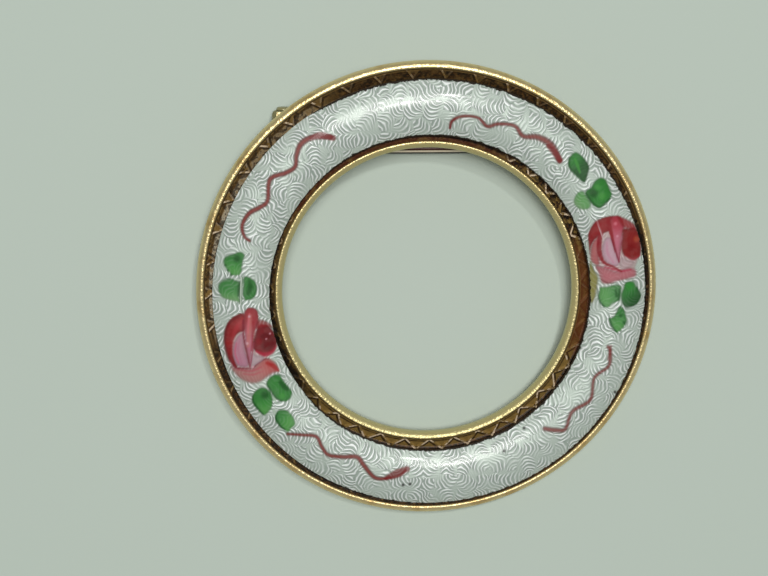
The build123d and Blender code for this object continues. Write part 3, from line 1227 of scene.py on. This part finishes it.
UPPER_RIGHT_LEAVES = (555, 140, 22.4), (
    (dab, [(470, 270), (580, 330), (690, 450), (770, 600), (740, 760), (700, 900), (640, 950), (540, 850),
          (420, 740), (320, 630), (290, 480), (340, 360), (400, 300)], MID_GREEN, 0.96, 1.2,
          (DARK_GREEN, (430, 400), (640, 640))),
    (stroke, [(330, 400), (330, 620), (520, 830), (640, 930)], (1.5, 2.5, 2), DARK_GREEN, 0.8),
    (stroke, [(450, 430), (500, 560), (560, 730)], (2, 3.5, 2), LIGHT_GREEN, 0.7),
    (dab, [(520, 1170), (620, 1150), (700, 1240), (770, 1360), (800, 1440), (760, 1540), (600, 1560),
          (480, 1500), (420, 1400), (440, 1280)], LIGHT_GREEN, 0.85, 1.2,
          (PALE_GREEN, (650, 1300), (450, 1450))),
    (dab, [(1020, 840), (1130, 880), (1190, 1000), (1230, 1100), (1280, 1210), (1230, 1330), (1100, 1450),
          (1000, 1530), (880, 1480), (780, 1380), (690, 1240), (680, 1180), (720, 1120), (800, 1070),
          (850, 980), (910, 900)], MID_GREEN, 0.97),
    (dots, [(860, 1190)], 6, DARK_GREEN, 0.9),
    (stroke, [(700, 1200), (850, 1420), (1020, 1510), (1230, 1310)], (2, 2.5, 2, 1.5), DARK_GREEN, 0.75),
    (dots, [(950, 1060)], 4, LIGHT_GREEN, 0.6),
    (dots, [(1050, 1260)], 5, LIGHT_GREEN, 0.65),
)
paint_tables(UPPER_RIGHT_LEAVES)

# %% Leaves on the right
RIGHT_LEAVES = (590, 270, 24.12), (
    (dab, [(240, 420), (420, 400), (600, 350), (740, 380), (760, 480), (740, 640), (700, 740), (620, 780),
          (520, 830), (450, 900), (340, 890), (260, 800), (200, 640), (220, 520)], LIGHT_GREEN, 0.88, 1.2,
          (MID_GREEN, (350, 600), (700, 520))),
    (stroke, [(620, 480), (640, 620)], (2, 3), DARK_GREEN, 0.7),
    (stroke, [(715, 460), (690, 720)], (2, 2.5), DARK_GREEN, 0.75),
    (stroke, [(215, 520), (205, 660), (250, 790), (340, 880)], (1, 2, 2), DARK_GREEN, 0.8),
    (dab, [(860, 300), (1050, 270), (1130, 400), (1190, 520), (1220, 650), (1150, 790), (1050, 880),
          (900, 910), (810, 860), (760, 760), (750, 600), (800, 450)], MID_GREEN, 0.95, 1.2,
          (DARK_GREEN, (930, 420), (1150, 760))),
    (dots, [(950, 390)], 5, (60, 140, 62), 0.8),
    (stroke, [(1130, 420), (1200, 560), (1205, 660), (1120, 810)], (1.5, 2.5, 1.5), DARK_GREEN, 0.8),
    (dab, [(740, 870), (830, 960), (870, 1100), (890, 1220), (850, 1330), (760, 1440), (660, 1510),
          (600, 1480), (530, 1370), (470, 1230), (460, 1170), (560, 1130), (630, 1020), (680, 920)],
          MID_GREEN, 0.92, 1.2, (LIGHT_GREEN, (700, 1000), (640, 1400))),
    (stroke, [(470, 1180), (530, 1370), (640, 1490)], (2, 2.5, 1.5), DARK_GREEN, 0.75),
    (dots, [(740, 1100)], 2.5, DARK_GREEN, 0.7),
    (dots, [(830, 1270)], 2.5, DARK_GREEN, 0.7),
)
paint_tables(RIGHT_LEAVES)

# %% Leaves on the left, and the pale line between two of them
LEFT_LEAVES = (215, 245, 24.12), (
    (dab, [(430, 220), (560, 170), (660, 180), (720, 260), (680, 380), (660, 500), (640, 640), (600, 720),
          (500, 740), (400, 730), (320, 640), (250, 540), (200, 420), (230, 310), (320, 250)], MID_GREEN,
          0.93, 1.2, (LIGHT_GREEN, (520, 330), (450, 680))),
    (dots, [(530, 330)], 4.5, DARK_GREEN, 0.85),
    (dots, [(250, 490), (300, 610), (380, 720)], 1.8, DARK_GREEN, 0.7),
    (dab, [(250, 830), (380, 800), (520, 860), (590, 900), (590, 1050), (580, 1200), (590, 1370),
          (480, 1360), (350, 1330), (200, 1280), (110, 1180), (70, 1050), (100, 920), (180, 850)],
          MID_GREEN, 0.9, 1.2, (PALE_GREEN, (350, 1000), (330, 1360))),
    (stroke, [(590, 900), (575, 1080), (560, 1230)], (2, 3, 1.5), DARK_GREEN, 0.8),
    (dab, [(690, 780), (780, 760), (900, 820), (980, 900), (1010, 1050), (990, 1180), (930, 1280),
          (820, 1330), (720, 1330), (670, 1200), (680, 1000)], MID_GREEN, 0.94),
    (stroke, [(830, 880), (850, 1020), (800, 1170)], (3, 6, 4), DARK_GREEN, 0.8, 1.6),
    (stroke, [(668, 790), (650, 1100), (650, 1430)], (1, 1.4, 1), (60, 95, 60), 0.8, 0.6),
    (stroke, [(605, 790), (600, 1100), (595, 1430)], (1, 1.4, 1), (60, 95, 60), 0.8, 0.6),
    (stroke, [(640, 790), (625, 1100), (620, 1440)], (1.2, 1.3, 1), (222, 232, 222), 0.95, 0.6),
    (stroke, [(430, 790), (580, 840), (640, 790)], (0.8, 1.2, 0.8), (215, 228, 215), 0.9, 0.6),
)
paint_tables(LEFT_LEAVES)

# %% Leaves on the lower left
LOWER_LEFT_LEAVES = (240, 370, 24.12), (
    (dab, [(780, 130), (900, 100), (980, 130), (1040, 240), (1130, 350), (1200, 440), (1260, 530),
          (1220, 680), (1120, 760), (1000, 760), (880, 700), (790, 590), (720, 480), (650, 400),
          (640, 300), (690, 210)], MID_GREEN, 0.96),
    (stroke, [(980, 300), (1060, 400), (1140, 460)], (4, 5, 4), DARK_GREEN, 0.85, 1.5),
    (dots, [(1020, 630)], 4, LIGHT_GREEN, 0.6),
    (stroke, [(650, 330), (740, 500), (880, 690), (1010, 750)], (1.5, 2, 1.5), DARK_GREEN, 0.7),
    (dab, [(400, 480), (520, 420), (650, 450), (740, 540), (780, 660), (790, 780), (770, 900),
          (700, 1000), (600, 1090), (520, 1050), (450, 970), (360, 870), (300, 760), (290, 650),
          (330, 550)], MID_GREEN, 0.95, 1.2, (LIGHT_GREEN, (580, 640), (620, 1000))),
    (dots, [(600, 600)], 5, DARK_GREEN, 0.85),
    (stroke, [(305, 640), (320, 780), (450, 960), (560, 1070)], (1.5, 2.5, 1.5), DARK_GREEN, 0.8),
    (dab, [(940, 960), (1060, 950), (1160, 990), (1250, 1080), (1310, 1200), (1330, 1320), (1230, 1420),
          (1160, 1500), (1050, 1440), (950, 1350), (860, 1240), (850, 1120), (890, 1020)], MID_GREEN,
          0.92, 1.2, (LIGHT_GREEN, (950, 1060), (1220, 1260))),
    (stroke, [(900, 1030), (865, 1150), (960, 1340), (1080, 1440)], (1.5, 2.5, 1.5), DARK_GREEN, 0.8),
    (stroke, [(790, 650), (840, 740), (890, 800)], (0.8, 1.5, 0.8), (190, 215, 190), 0.85, 0.6),
    (stroke, [(800, 980), (860, 1040)], (1.4, 1.4), (190, 212, 190), 0.8, 0.6),
)
paint_tables(LOWER_LEFT_LEAVES)

# %% [markdown]
# ## Roses
# A rose is built from the outside in: broad crimson petals first, then the pale ones that lie before them,
# then the dark lines that part them, and last the small lights. The colours are laid wet in wet, so that
# one petal fades from pink to red. A few strokes were read in the whole photograph and have their own tables.

# %% Outer petals of the left rose
CRIMSON, DEEP_RED, WINE = (140, 36, 40), (120, 22, 34), (120, 28, 48)
PALE_PINK, UNDERWASH = (204, 158, 172), (200, 158, 164)
LEFT_ROSE = (190, 290, 12.06)

LEFT_GROUND = WHOLE_PHOTO, (
    (dab, [(227, 330), (232, 320), (241, 315), (248, 309), (256, 310), (259, 322), (268, 326), (274, 333),
          (276, 345), (273, 354), (267, 358), (275, 362), (278, 370), (268, 377), (256, 382), (244, 380),
          (235, 373), (229, 362), (227, 346)], UNDERWASH, 0.62, 1.5),
)
LEFT_OUTER_PETALS = LEFT_ROSE, (
    (dab, [(490, 930), (600, 945), (740, 950), (800, 900), (870, 840), (950, 825), (1020, 870),
          (1080, 960), (1080, 985), (1000, 1000), (920, 1050), (850, 1110), (750, 1130), (650, 1100),
          (560, 1030)], (178, 120, 116), 0.75, 2.0, ((176, 62, 62), (760, 1020), (990, 920))),
    (stroke, [(560, 960), (740, 975), (860, 930)], (1, 2.5, 1.5), (182, 92, 104), 0.7, 1),
    (stroke, [(640, 1010), (760, 1020), (880, 980)], (1, 2, 1), (186, 104, 112), 0.7, 1),
    (stroke, [(930, 880), (1010, 920), (1060, 970)], (3, 5, 2.5), (160, 36, 38), 0.85, 1.2),
    (stroke, [(760, 945), (820, 885), (900, 835), (960, 830)], (1.2, 1.4, 1), WINE, 0.8, 0.7),
    (dab, [(640, 280), (540, 310), (470, 370), (430, 450), (410, 560), (420, 680), (450, 790), (480, 850),
          (530, 920), (570, 930), (545, 860), (515, 760), (515, 640), (545, 560), (600, 510), (660, 490),
          (670, 380)], CRIMSON, 0.97, 1.0),
    (dots, [(600, 430)], 6, (168, 70, 76), 0.6),
    (dots, [(455, 640)], 4, (150, 42, 42), 0.7),
)
LEFT_RIM_SHADE = WHOLE_PHOTO, (
    (stroke, [(243, 319), (236, 329), (232.5, 341), (232, 354)], (3, 4.5, 3.5, 2), (184, 78, 84), 0.5,
             1.6),
    (stroke, [(241, 315), (231, 321), (226, 329), (224.5, 340), (226, 352), (230, 361)],
             (2, 2.6, 2.8, 2.8, 2.4, 2), (104, 20, 28), 0.75, 1.4),
)
paint_tables(LEFT_GROUND, LEFT_OUTER_PETALS, LEFT_RIM_SHADE)

# %% Pale petals of the left rose
LEFT_PALE_PETALS = LEFT_ROSE, (
    (dab, [(630, 520), (560, 580), (520, 680), (520, 800), (560, 900), (640, 930), (700, 920), (700, 850),
          (670, 750), (650, 640)], PALE_PINK, 0.93, 1.2, ((196, 146, 166), (540, 600), (660, 880))),
    (stroke, [(600, 600), (580, 720), (620, 880)], (2, 3, 2), (188, 132, 152), 0.6, 1.2),
    (stroke, [(560, 640), (545, 760), (585, 880)], (1, 1.6, 1.2), (206, 108, 132), 0.7, 0.8),
    (dab, [(700, 215), (780, 220), (820, 270), (830, 360), (810, 430), (770, 520), (760, 650), (740, 760),
          (725, 880), (700, 800), (675, 660), (655, 480), (650, 330), (660, 260)], (160, 62, 68), 0.97,
          1.0, ((200, 128, 148), (740, 300), (720, 640))),
)
LEFT_SOFT_LINES = WHOLE_PHOTO, (
    (stroke, [(250, 316), (249, 330), (248, 346)], (3.5, 4.5, 3), (196, 128, 122), 0.7, 1.2),
    (stroke, [(253.5, 322), (253.5, 334), (252, 350)], (2.5, 3.5, 2), (148, 44, 50), 0.6, 1.2),
)
paint_tables(LEFT_PALE_PETALS, LEFT_SOFT_LINES)

# %% Heart, lines and lights of the left rose
LEFT_HEART = LEFT_ROSE, (
    (stroke, [(715, 290), (705, 420), (700, 520)], (1.6, 2.2, 1.5), (214, 120, 132), 0.7, 0.8),
    (dab, [(830, 430), (920, 420), (980, 460), (1030, 540), (1050, 610), (1040, 680), (1000, 740),
          (900, 790), (820, 760), (770, 720), (760, 650), (780, 560)], DEEP_RED, 0.97, 1.2),
    (dab, [(850, 560), (930, 520), (1000, 570), (1010, 650), (950, 720), (870, 700)], (92, 14, 22), 0.6,
          2.2),
    (dab, [(830, 360), (930, 380), (1000, 450), (900, 450), (800, 470)], (150, 34, 44), 0.8, 1.4),
    (stroke, [(800, 740), (900, 780), (1000, 740), (1045, 670)], (2, 4.5, 3, 1.5), (172, 44, 70), 0.85,
             1.2),
    (dots, [(840, 620)], 4, (134, 22, 36), 0.6),
    (dab, [(745, 760), (800, 790), (880, 800), (880, 850), (800, 900), (745, 930), (735, 860)],
          (198, 176, 184), 0.8, 1.2),
    (stroke, [(640, 360), (640, 500), (660, 640), (690, 780), (722, 925)], (1.2, 1.6, 1.8, 1.4),
             (118, 24, 48), 0.9, 0.8),
    (stroke, [(770, 640), (750, 780), (728, 920)], (1, 1.2, 1.2), (150, 62, 86), 0.85, 0.7),
    (stroke, [(480, 830), (540, 930), (620, 945), (730, 945)], (1.4, 1.6, 1.4), (128, 36, 54), 0.85, 0.8),
    (dots, [(715, 320)], 1.6, (228, 186, 196), 0.85),
    (dots, [(690, 645)], 1.8, (228, 186, 196), 0.85),
    (dots, [(965, 525)], 1.4, (228, 186, 196), 0.85),
    (dots, [(920, 590)], 1.2, (228, 186, 196), 0.85),
    (dots, [(760, 930)], 1.5, (228, 186, 196), 0.85),
)
paint_tables(LEFT_HEART)

# %% Petals of the right rose
RIGHT_ROSE = (560, 150, 10.45)

RIGHT_GROUND = WHOLE_PHOTO, (
    (dab, [(593, 223), (600, 219), (614, 216), (626, 219), (636, 227), (640, 242), (639, 256), (635, 268),
          (632, 276), (618, 281), (606, 281), (600, 271), (594, 262), (591, 250), (590, 236)], UNDERWASH,
          0.62, 1.5),
)
RIGHT_PETALS = RIGHT_ROSE, (
    (dab, [(370, 1210), (470, 1230), (600, 1270), (700, 1230), (790, 1250), (790, 1320), (700, 1350),
          (600, 1370), (520, 1395), (440, 1390), (400, 1290)], (188, 112, 122), 0.85, 1.6),
    (stroke, [(470, 1225), (560, 1245), (640, 1265), (740, 1250)], (1.5, 2.5, 2, 1), (176, 56, 84), 0.8,
             1),
    (stroke, [(430, 1355), (500, 1390), (560, 1388)], (1, 1.6, 1), (120, 60, 64), 0.7, 0.8),
    (dab, [(420, 890), (350, 960), (320, 1050), (320, 1150), (370, 1200), (410, 1190), (400, 1080),
          (410, 980)], (190, 116, 118), 0.9, 1.0),
    (dab, [(400, 730), (470, 700), (560, 690), (520, 760), (520, 840), (480, 860), (420, 890), (360, 940),
          (325, 1000), (310, 1090), (298, 990), (290, 900), (310, 830), (360, 760)], (142, 32, 38), 0.97,
          1.0),
    (dab, [(470, 930), (530, 920), (570, 1010), (600, 1100), (625, 1175), (580, 1215), (500, 1185),
          (450, 1120), (440, 1030)], (212, 178, 192), 0.93, 1.1),
    (stroke, [(490, 970), (500, 1080), (560, 1180)], (1.5, 2.5, 1.5), (204, 146, 168), 0.6, 1),
    (dab, [(520, 740), (560, 690), (620, 690), (660, 740), (670, 800), (650, 900), (630, 1020),
          (615, 1170), (580, 1060), (540, 930), (515, 840)], (172, 62, 76), 0.97, 1.0,
          ((204, 128, 146), (590, 720), (600, 960))),
    (dab, [(660, 830), (720, 820), (780, 810), (820, 860), (840, 930), (850, 1030), (840, 1100),
          (790, 1140), (720, 1130), (660, 1090), (640, 1010), (650, 920)], (132, 30, 30), 0.97, 1.2),
    (dab, [(600, 690), (690, 720), (770, 770), (790, 830), (700, 820), (650, 790)], (150, 34, 42), 0.8,
          1.5),
    (dots, [(740, 1020)], 5, (118, 14, 20), 0.85),
    (dots, [(800, 930)], 4, (182, 92, 56), 0.65),
    (stroke, [(680, 1100), (760, 1140), (835, 1100)], (1.5, 3, 2), (160, 50, 62), 0.7, 1),
    (dab, [(640, 1130), (700, 1150), (770, 1160), (740, 1220), (640, 1240)], (204, 180, 184), 0.7, 1.5),
    (stroke, [(425, 880), (412, 960), (410, 1050), (435, 1140), (480, 1190), (560, 1222), (640, 1268)],
             (4.5, 5, 4.5, 3.2, 2.2, 1.6), (136, 28, 40), 0.92, 0.9),
)
paint_tables(RIGHT_GROUND, RIGHT_PETALS)

# %% Lines of the right rose, the olive stain and five nicks
OLIVE_STAIN, NICK = (148, 140, 52), (22, 18, 12)

RIGHT_TONGUE = WHOLE_PHOTO, (
    (stroke, [(608.5, 222), (611, 233), (615.5, 252)], (4.5, 3.8, 1.2), (138, 28, 38), 0.9, 0.9),
)
RIGHT_LINES = RIGHT_ROSE, (
    (stroke, [(540, 930), (575, 1040), (617, 1172)], (1.2, 1.6, 1.2), (122, 30, 52), 0.9, 0.7),
    (stroke, [(655, 900), (632, 1030), (620, 1165)], (1.1, 1.3, 1), (150, 60, 84), 0.8, 0.7),
    (dots, [(580, 770)], 2.2, (222, 140, 152), 0.85),
    (dots, [(600, 900)], 1.6, (226, 170, 184), 0.8),
    (stroke, [(385, 740), (425, 850), (460, 950)], (0.8, 1.2, 0.8), (228, 218, 220), 0.9, 0.6),
)
STAIN_AND_NICKS = WHOLE_PHOTO, (
    (dab, [(590, 262), (594, 270), (598, 277), (597, 288), (595, 298), (591, 303), (588, 290)],
          OLIVE_STAIN, 0.85, 1.4),
    (dots, [(615, 392), (504, 451), (524, 428), (403, 485), (410, 484)], 2.0, NICK, 0.95),
)
paint_tables(RIGHT_TONGUE, RIGHT_LINES, STAIN_AND_NICKS)

# %% [markdown]
# ## Scrolls
# Four thin maroon ribbons wave between the roses. Each is one dark brush line that swells where the brush
# was pressed, with a paler line inside it, and short red strokes end them. A wave is hard to read on a
# curve, so they were read in strips that show the band of the ring unrolled, by angle and radius.

# %% Scrolls
STRIP_CENTRE, STRIP_TOP = (426.5, 285.0), 240
STRIP_TURN, COLUMNS_A_DEGREE, ROWS_A_PIXEL = 120, 10, 8
MAROON, PALE_MAROON, END_RED = (92, 26, 24), (152, 76, 68), (116, 22, 24)


def from_strip(strip, points):
    """The photograph's pixels of points that were read in one of the three unrolled strips."""
    pixels = []
    for column, row in points:
        angle = radians(STRIP_TURN * strip + column / COLUMNS_A_DEGREE)
        reach = STRIP_TOP - row / ROWS_A_PIXEL
        pixels.append((STRIP_CENTRE[0] + reach * cos(angle), STRIP_CENTRE[1] - reach * sin(angle)))
    return pixels


# each scroll has its line, its widths in pixels from start to end, and its strength
SCROLLS = (
    (
        from_strip(0, [(430, 465), (480, 420), (530, 440), (570, 500), (610, 465), (660, 510), (690, 560),
                       (730, 520), (780, 540), (810, 590), (815, 650)]),
        (4.5, 5.5, 4, 3, 3.5, 2.5, 3, 2),
        0.84,
    ),
    (
        from_strip(1, [(30, 510), (75, 430), (115, 410), (150, 450), (180, 505), (215, 480), (260, 410),
                       (320, 480), (350, 450), (380, 390), (420, 370), (450, 410), (460, 460)]),
        (4, 5, 3.5, 4, 3.5, 4, 3, 2.5),
        0.92,
    ),
    (
        from_strip(1, [(1070, 290), (1105, 365), (1140, 420), (1170, 380), (1200, 350)])
        + from_strip(2, [(40, 390), (80, 435), (110, 390), (150, 325), (190, 345), (220, 380), (235, 425)]),
        (2.4, 3, 3, 3.5, 4, 3.5, 2.4, 2.6),
        0.88,
    ),
    (
        from_strip(2, [(695, 430), (715, 370), (740, 320), (790, 375), (850, 320), (910, 385), (960, 325),
                       (1000, 355), (1012, 385)]),
        (4, 4, 3, 3.4, 2.8, 2.8, 3.2, 3),
        0.76,
    ),
)
DARK_LINE, DARK_EDGE = 1.35, 1.1
LIGHT_LINE, LIGHT_EDGE, LIGHT_STRENGTH = 0.6, 0.9, 0.75
STRONG_END, WEAK_END = ((4, 6.5, 6), END_RED, 0.85, 1.2), ((2.6, 2.8, 2), END_RED, 0.6, 0.8)
SCROLL_ENDS = WHOLE_PHOTO, (
    (stroke, [(311, 138), (320, 135), (333, 138)], *STRONG_END),
    (stroke, [(386, 478), (396, 473), (407, 469)], *STRONG_END),
    (stroke, [(548, 146), (555, 153), (560, 160)], *STRONG_END),
    (stroke, [(611, 346), (610, 352), (608, 360)], *WEAK_END),
    (stroke, [(450, 128), (451, 122), (456, 118)], *WEAK_END),
)

for points, widths, strength in SCROLLS:
    dark_widths, light_widths = np.outer((DARK_LINE, LIGHT_LINE), widths)
    stroke(WHOLE_PHOTO, points, dark_widths, MAROON, strength, DARK_EDGE)
    stroke(WHOLE_PHOTO, points, light_widths, PALE_MAROON, strength * LIGHT_STRENGTH, LIGHT_EDGE)
paint_tables(SCROLL_ENDS)
print(len(SCROLLS), "scrolls")

# %% [markdown]
# ## The painted enamel
# Under the paint lies clear, pearly enamel over engine-turned metal. The turning is a field of fine arcs,
# a quarter of a millimetre apart, that meet in patches. Cutting them into the mesh would take millions of
# faces, so the material draws them. A Voronoi texture scatters spots about a millimetre apart and gives each
# a colour of its own, which is used as a direction. Lines run across that direction and bend as they leave
# the spot's middle, and a sine makes bright and dark lines of them. They dent the shading and tint the
# colour, and that tint, near white on the bright lines, is partly a painted glint of the turned metal. The
# metal shows only where nothing is painted, and a thin soft coat carries the lamp's sheen.

# %% The painting on the mesh
PAINT_DEPTH = 0.76
PAINT_RICHNESS = 1.25

shares = paint / np.maximum(cover, 1e-3)[:, None] / 255
grey = shares.mean(axis=1, keepdims=True)
shares = np.clip(grey + PAINT_RICHNESS * (shares - grey), 0, 1)
colours = np.column_stack((linear(shares) * PAINT_DEPTH, cover))
attribute = enamel.data.attributes.new("paint", "FLOAT_COLOR", "POINT")
attribute.data.foreach_set("color", colours.astype(np.float32).ravel())
print("painting kept on", len(colours), "points")

# %% Engine-turned arcs
ARC_SPACING = 0.27
PATCH_SIZE, PATCH_RANDOMNESS = 1.15, 0.85
ARC_BEND = 0.95
ARC_SHARPNESS = 2.1
WOBBLE_SCALE, WOBBLE = 1.3, (0.45, 0.45, 0)
FLAT = (1, 1, 0)


def vectors(operation, *values):
    """The result of a Vector Math node: a number for a dot product, and otherwise a vector."""
    output = "Value" if operation == "DOT_PRODUCT" else "Vector"
    return maths(operation, *values, kind="VectorMath", output=output)


enamel_glass, tree, shader = new_material("painted_enamel")
place, x, y, _ = flat_place(tree)
wobble = add_node(tree, "TexNoise", Vector=place, Scale=WOBBLE_SCALE, Detail=1.0)
level = vectors("MULTIPLY", vectors("MULTIPLY_ADD", wobble.outputs["Color"], WOBBLE, place), FLAT)
spots = add_node(
    tree,
    "TexVoronoi",
    {"feature": "F1", "voronoi_dimensions": "2D"},
    Vector=level,
    Scale=1 / PATCH_SIZE,
    Randomness=PATCH_RANDOMNESS,
)
aim = vectors("SUBTRACT", spots.outputs["Color"], (0.5, 0.5, 0.5))
aim = vectors("NORMALIZE", vectors("MULTIPLY", aim, FLAT))
from_spot = vectors("SUBTRACT", level, spots.outputs["Position"])
run = vectors("DOT_PRODUCT", from_spot, aim)
aside_square = maths("SUBTRACT", vectors("DOT_PRODUCT", from_spot, from_spot), times(run, run))
bent = maths("MULTIPLY_ADD", aside_square, ARC_BEND, run)
arcs = maths("MULTIPLY_ADD", maths("SINE", times(bent, 2 * pi / ARC_SPACING)), 0.5, 0.5)
clear = times(ramp(aside_square, 0.36, 0.12), ramp(noise(place, 0.8), 0.34, 0.56, 0.25, 1.0))
print("arcs:", len(tree.nodes), "nodes")

# %% Grime and painted shade along the plate's edges
UPPER_GRIME_AND_SHADE, HOLE_GRIME_AND_SHADE = (22, 128, 8), (-140, 130, 8)

plate_x, plate_y = maths("SUBTRACT", x, PLATE_SHIFT.x), maths("SUBTRACT", y, PLATE_SHIFT.y)
plate_r, plate_turn = radius_and_turn(plate_x, plate_y)
from_rim = maths("SUBTRACT", plate_outer_r, plate_r)
from_hole = maths("SUBTRACT", plate_r, plate_inner_r)
ragged = maths("SUBTRACT", noise(place, 2.4, 4.0, 0.7), 0.5)
upper_reach = maths("ADD", times(zone(plate_turn, *UPPER_GRIME_AND_SHADE), 0.11), 0.02)
left_reach = ramp(maths("ABSOLUTE", plate_turn), 118, 128, 0.0, -0.2)
rim_reach = maths("ADD", maths("MULTIPLY_ADD", ragged, 0.45, upper_reach), left_reach)
hole_reach = maths("MULTIPLY_ADD", ragged, 0.35, times(zone(plate_turn, *HOLE_GRIME_AND_SHADE), 0.10))
# a ragged dark band along both edges of the plate: grime, and a painted shade of the gap beside the walls
edge_grime_and_shade = most(
    ramp(maths("SUBTRACT", rim_reach, from_rim), -0.02, 0.03),
    ramp(maths("SUBTRACT", hole_reach, from_hole), -0.02, 0.03),
)
print("grime:", len(tree.nodes), "nodes so far")

# %% Enamel material
PLAIN_TINT, ARC_DARK, ARC_LIGHT_AND_GLINT = (188, 201, 192), (156, 170, 161), (246, 250, 251)
# the dark of grime and of the painted gap shade at the plate's edges
EDGE_GRIME_AND_SHADE = (34, 24, 12)
ARC_RELIEF = 0.036
SILVER_SHARE = 0.20
ENAMEL_ROUGHNESS, ENAMEL_GLOSS = 0.50, 0.25
COAT_WEIGHT, COAT_ROUGHNESS = 0.28, 0.12

painted = add_node(tree, "Attribute", {"attribute_name": "paint"})
covered = painted.outputs["Alpha"]
# the turning's pattern as a tint; its near white lines are partly a painted glint of the metal
arc_tint_and_glint = layered(ARC_DARK, (maths("POWER", arcs, ARC_SHARPNESS), ARC_LIGHT_AND_GLINT))
glass_tint = layered(PLAIN_TINT, (maths("MULTIPLY_ADD", clear, 0.8, 0.1), arc_tint_and_glint))
shine = ramp(noise(place, 1.8, 1.0), 0.40, 0.70, 0.0, 0.03)
paint_tint = layered(painted.outputs["Color"], (shine, PLAIN_TINT))
silvery = times(outside(covered), outside(edge_grime_and_shade))
relief = times(arcs, silvery, maths("MULTIPLY_ADD", clear, 0.9, 0.1))
dents = add_node(tree, "Bump", Strength=1.0, Distance=ARC_RELIEF * MM, Height=relief)
set_inputs(
    shader,
    Base_Color=layered(glass_tint, (covered, paint_tint), (edge_grime_and_shade, EDGE_GRIME_AND_SHADE)),
    Metallic=times(silvery, SILVER_SHARE),
    Roughness=ENAMEL_ROUGHNESS,
    Specular_IOR_Level=ENAMEL_GLOSS,
    Coat_Weight=COAT_WEIGHT,
    Coat_Roughness=COAT_ROUGHNESS,
    Normal=dents.outputs[0],
)
finish_piece(enamel, "enamel_plate", "root", enamel_glass)
